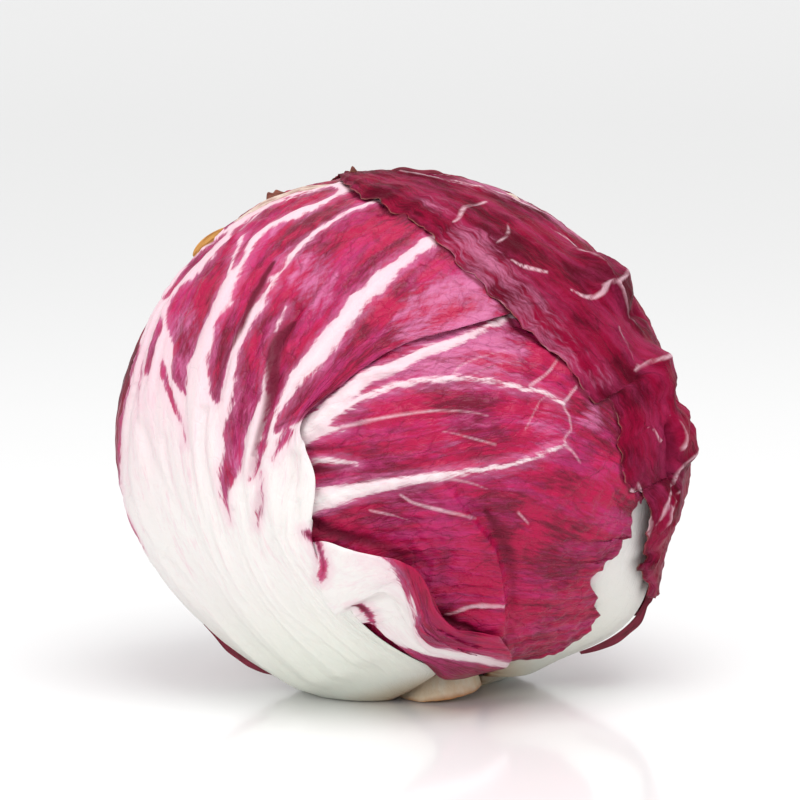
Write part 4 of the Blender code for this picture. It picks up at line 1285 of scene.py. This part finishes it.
for index, depth in enumerate(INNER_DEPTHS):
    middle = INNER_FIRST + index * INNER_TURN
    guides = []
    for side_turn in INNER_SIDES:
        stations = np.linspace(COLLAR + 1, INNER_TOP - INNER_TOP_LOSS * abs(side_turn), 5)
        guides.append([by_stem(away, middle + side_turn) for away in stations])
    inner_ribs = fan_ribs(guides, (0.1, 0.3, 0.5, 0.7, 0.9), (5, 2.4, 1, 0.5), 0.2)
    leaf(
        f"inner_blade_{index + 1}", f"inner_leaf_{index + 1}", guides, (50, 50), depth,
        under_height(depth, 71 + index), on_ribs(inner_ribs, 40), inner_ribs, inner_finish,
    )

HEART_DEPTH = 14.4  # under the outermost leaves, in millimetres
HEART_TURNS, HEART_FALLS = 96, 47
HEART_LEAVES = 3  # young leaves wound round it
HEART_TWIST = 0.8
HEART_RISE = 0.9  # step where one young leaf ends on the next
HEART_MM = 38  # radians to millimetres on its map

turns = np.linspace(0, math.tau, HEART_TURNS + 1)[:-1]
falls = np.linspace(0, math.pi, HEART_FALLS + 2)[1:-1]
turn_grid, fall_grid = np.meshgrid(turns, falls, indexing="ij")
ring_size = np.sin(fall_grid)
ball = np.stack([ring_size * np.cos(turn_grid), ring_size * np.sin(turn_grid), np.cos(fall_grid)], axis=-1)
winding = (turn_grid / math.tau * HEART_LEAVES + np.cos(fall_grid) * HEART_TWIST) % 1
ball_points = place_on_head(ball, HEART_RISE * winding - HEART_DEPTH, HEART_DEPTH)
poles = place_on_head(np.array([[0, 0, 1.0], [0, 0, -1.0]]), np.full(2, -HEART_DEPTH), HEART_DEPTH)
heart_points = np.vstack([ball_points.reshape(-1, 3), poles])
heart_faces = [face[::-1] for face in closed_faces(HEART_TURNS, HEART_FALLS)]
heart_fan = np.stack([turn_grid, fall_grid], axis=-1).reshape(-1, 2) * HEART_MM
heart_fan = np.vstack([heart_fan, np.zeros((2, 2))])
heart_mesh = make_mesh(
    "heart_ball", heart_points, heart_faces, {**PLAIN_MARKS, "foot": 40.0, "rim": 40.0}, heart_fan
)
add_piece("heart_ball", heart_mesh, inner_finish, "heart")
print("heart points", len(heart_points))

# %% [markdown]
# ## Cut stump
#
# A short stem, sawn off just over the table. Its side is a ring of points run down the stem's axis
# to the sloping cut; the cut itself is dished a little and shows the cut leaf bases as rings.

# %% Cut stump
STEM_RADIUS = 8.8
STEM_LENGTH = 8.5
STEM_TAPER = 0.85
STUMP_CLEAR = 1.3
STUMP_SLOPE = np.array((0.108, 0.085))
STUMP_SIDES, STUMP_RINGS, WALL_RINGS = 96, 12, 8
CUT_LIP = 0.25  # how far the wall's last ring stands back from the cut
CUT_DISH = 0.35  # how far the cut's middle stands back from its rim
CUT_ROUNDS = 4  # the foot ring is slid along the stem to the cut in so many rounds

stem_axis = -unit(STEM_FOOT)
stem_across = unit(np.cross((0, 1, 0), stem_axis))
stem_along = np.cross(stem_axis, stem_across)
stem_turns = np.linspace(0, math.tau, STUMP_SIDES + 1)[:-1]
stem_out = np.cos(stem_turns)[:, None] * stem_across + np.sin(stem_turns)[:, None] * stem_along
ragged_out = 1 + 0.03 * drift(stem_out, 1.2, 31) + 0.018 * drift(stem_out, 0.35, 32)


def cut_height(points):
    """Height of the sloping cut over the table at these places."""
    return STUMP_CLEAR + (points[..., :2] - STEM_FOOT[:2]) @ STUMP_SLOPE


def stem_ring(height, radius):
    """Ring of points so far up the stem's axis from its foot."""
    return MIDDLE + STEM_FOOT + stem_axis * height + stem_out * (radius * ragged_out)[:, None]


foot_ring = stem_ring(0.0, STEM_RADIUS)
for _ in range(CUT_ROUNDS):
    up = (cut_height(foot_ring) - foot_ring[:, 2]) / stem_axis[2]
    foot_ring = foot_ring + stem_axis * up[:, None]
top_ring = stem_ring(STEM_LENGTH, STEM_RADIUS * STEM_TAPER)
wall = top_ring + (foot_ring - top_ring) * np.linspace(0, 1, WALL_RINGS)[:, None, None]
wall[-1] += stem_axis * CUT_LIP
foot_middle = foot_ring.mean(axis=0)
cut_part = np.concatenate([[0.035], np.linspace(0.09, 0.94, STUMP_RINGS)])[:, None, None]
cut = foot_ring + (foot_middle - foot_ring) * cut_part
dish = CUT_DISH * step(cut_part[..., 0], 0.1, 0.6)
cut[..., 2] = cut_height(cut) + dish + 0.05 * drift(cut, 2.5, 33)
stump_grid = np.concatenate([wall, cut]).transpose(1, 0, 2)
stump_points = np.vstack([stump_grid.reshape(-1, 3), top_ring.mean(axis=0), cut[-1].mean(axis=0)])
stump_marks = {
    "ring": np.linalg.norm(stump_points - foot_middle, axis=1),
    "low": stump_points[:, 2] - cut_height(stump_points),
}
stump_mesh = make_mesh("stump", stump_points, closed_faces(*stump_grid.shape[:2]), stump_marks)

CREAM = (0.84, 0.76, 0.60)
TAN = (0.78, 0.62, 0.42)
BROWN = (0.50, 0.22, 0.07)
recipe = Recipe("cut_stump")
place = recipe.place()
grain = recipe.noise(recipe.scaled(place, (1, 1, 0.35)), 0.0022, 4.0)
blotch = recipe.noise(place, 0.006, 2.0, 0.5)
low, ring = recipe.mark("low"), recipe.mark("ring")
ring_lines = recipe.add("Math", {"operation": "SINE"}, {0: (ring + blotch * 2.0) * 3.4})
stump_colour = recipe.blend((grain + blotch * 0.5).rising(0.5, 0.95), CREAM, TAN)
stump_colour = recipe.blend(ring_lines.rising(0.4, 1.0) * 0.35, stump_colour, TAN)
browned = (1 - (low + blotch * 2.2).rising(0.9, 2.6)) * (ring.rising(5.5, 8.2) * 0.9 + 0.1)
stump_colour = recipe.blend(browned, stump_colour, BROWN)
stump_finish = recipe.finish(
    Base_Color=stump_colour,
    Roughness=0.62 + grain * 0.2,
    Normal=recipe.bump(grain + ring_lines * 0.15, 0.0006),
    Specular_IOR_Level=0.3,
)
add_piece("stump", stump_mesh, stump_finish, "stem")
print("stump mm:", np.round(np.ptp(stump_points, axis=0), 1))

# %% [markdown]
# ## Studio
#
# A white world, a wide soft light from above, a weaker one from the front left, and a glossy white
# floor that mirrors the head faintly.

# %% Floor, lights and world
FLOOR_HALF = 4  # metres

floor_mesh = bpy.data.meshes.new("floor")
floor_corners = [(x * FLOOR_HALF, y * FLOOR_HALF, 0) for x, y in ((-1, -1), (1, -1), (1, 1), (-1, 1))]
floor_mesh.from_pydata(floor_corners, [], [(0, 1, 2, 3)])
floor_finish = Recipe("floor").finish(Base_Color=(0.9, 0.9, 0.9), Roughness=0.12, Specular_IOR_Level=0.5)
floor_mesh.materials.append(floor_finish)
floor = new_object("floor", floor_mesh)

AIM = Vector((0, 0, 0.05))


def soft_light(name, place, size, power):
    """A square area light that looks at the head; places in metres, power in watts."""
    light = new_object(name, bpy.data.lights.new(name, "AREA"))
    light.data.size = size
    light.data.energy = power
    light.location = place
    light.rotation_euler = (AIM - Vector(place)).to_track_quat("-Z", "Y").to_euler()


soft_light("top", (0.2, -0.4, 1.0), 0.8, 7.5)
soft_light("front", (-0.55, -0.85, 0.45), 0.5, 3.2)

world = bpy.data.worlds.new("studio")
bpy.context.scene.world = world
world.use_nodes = True
sky = world.node_tree.nodes["Background"].inputs
sky["Color"].default_value = (1, 1, 1, 1)
sky["Strength"].default_value = 0.85
bpy.context.scene.view_settings.view_transform = "Standard"
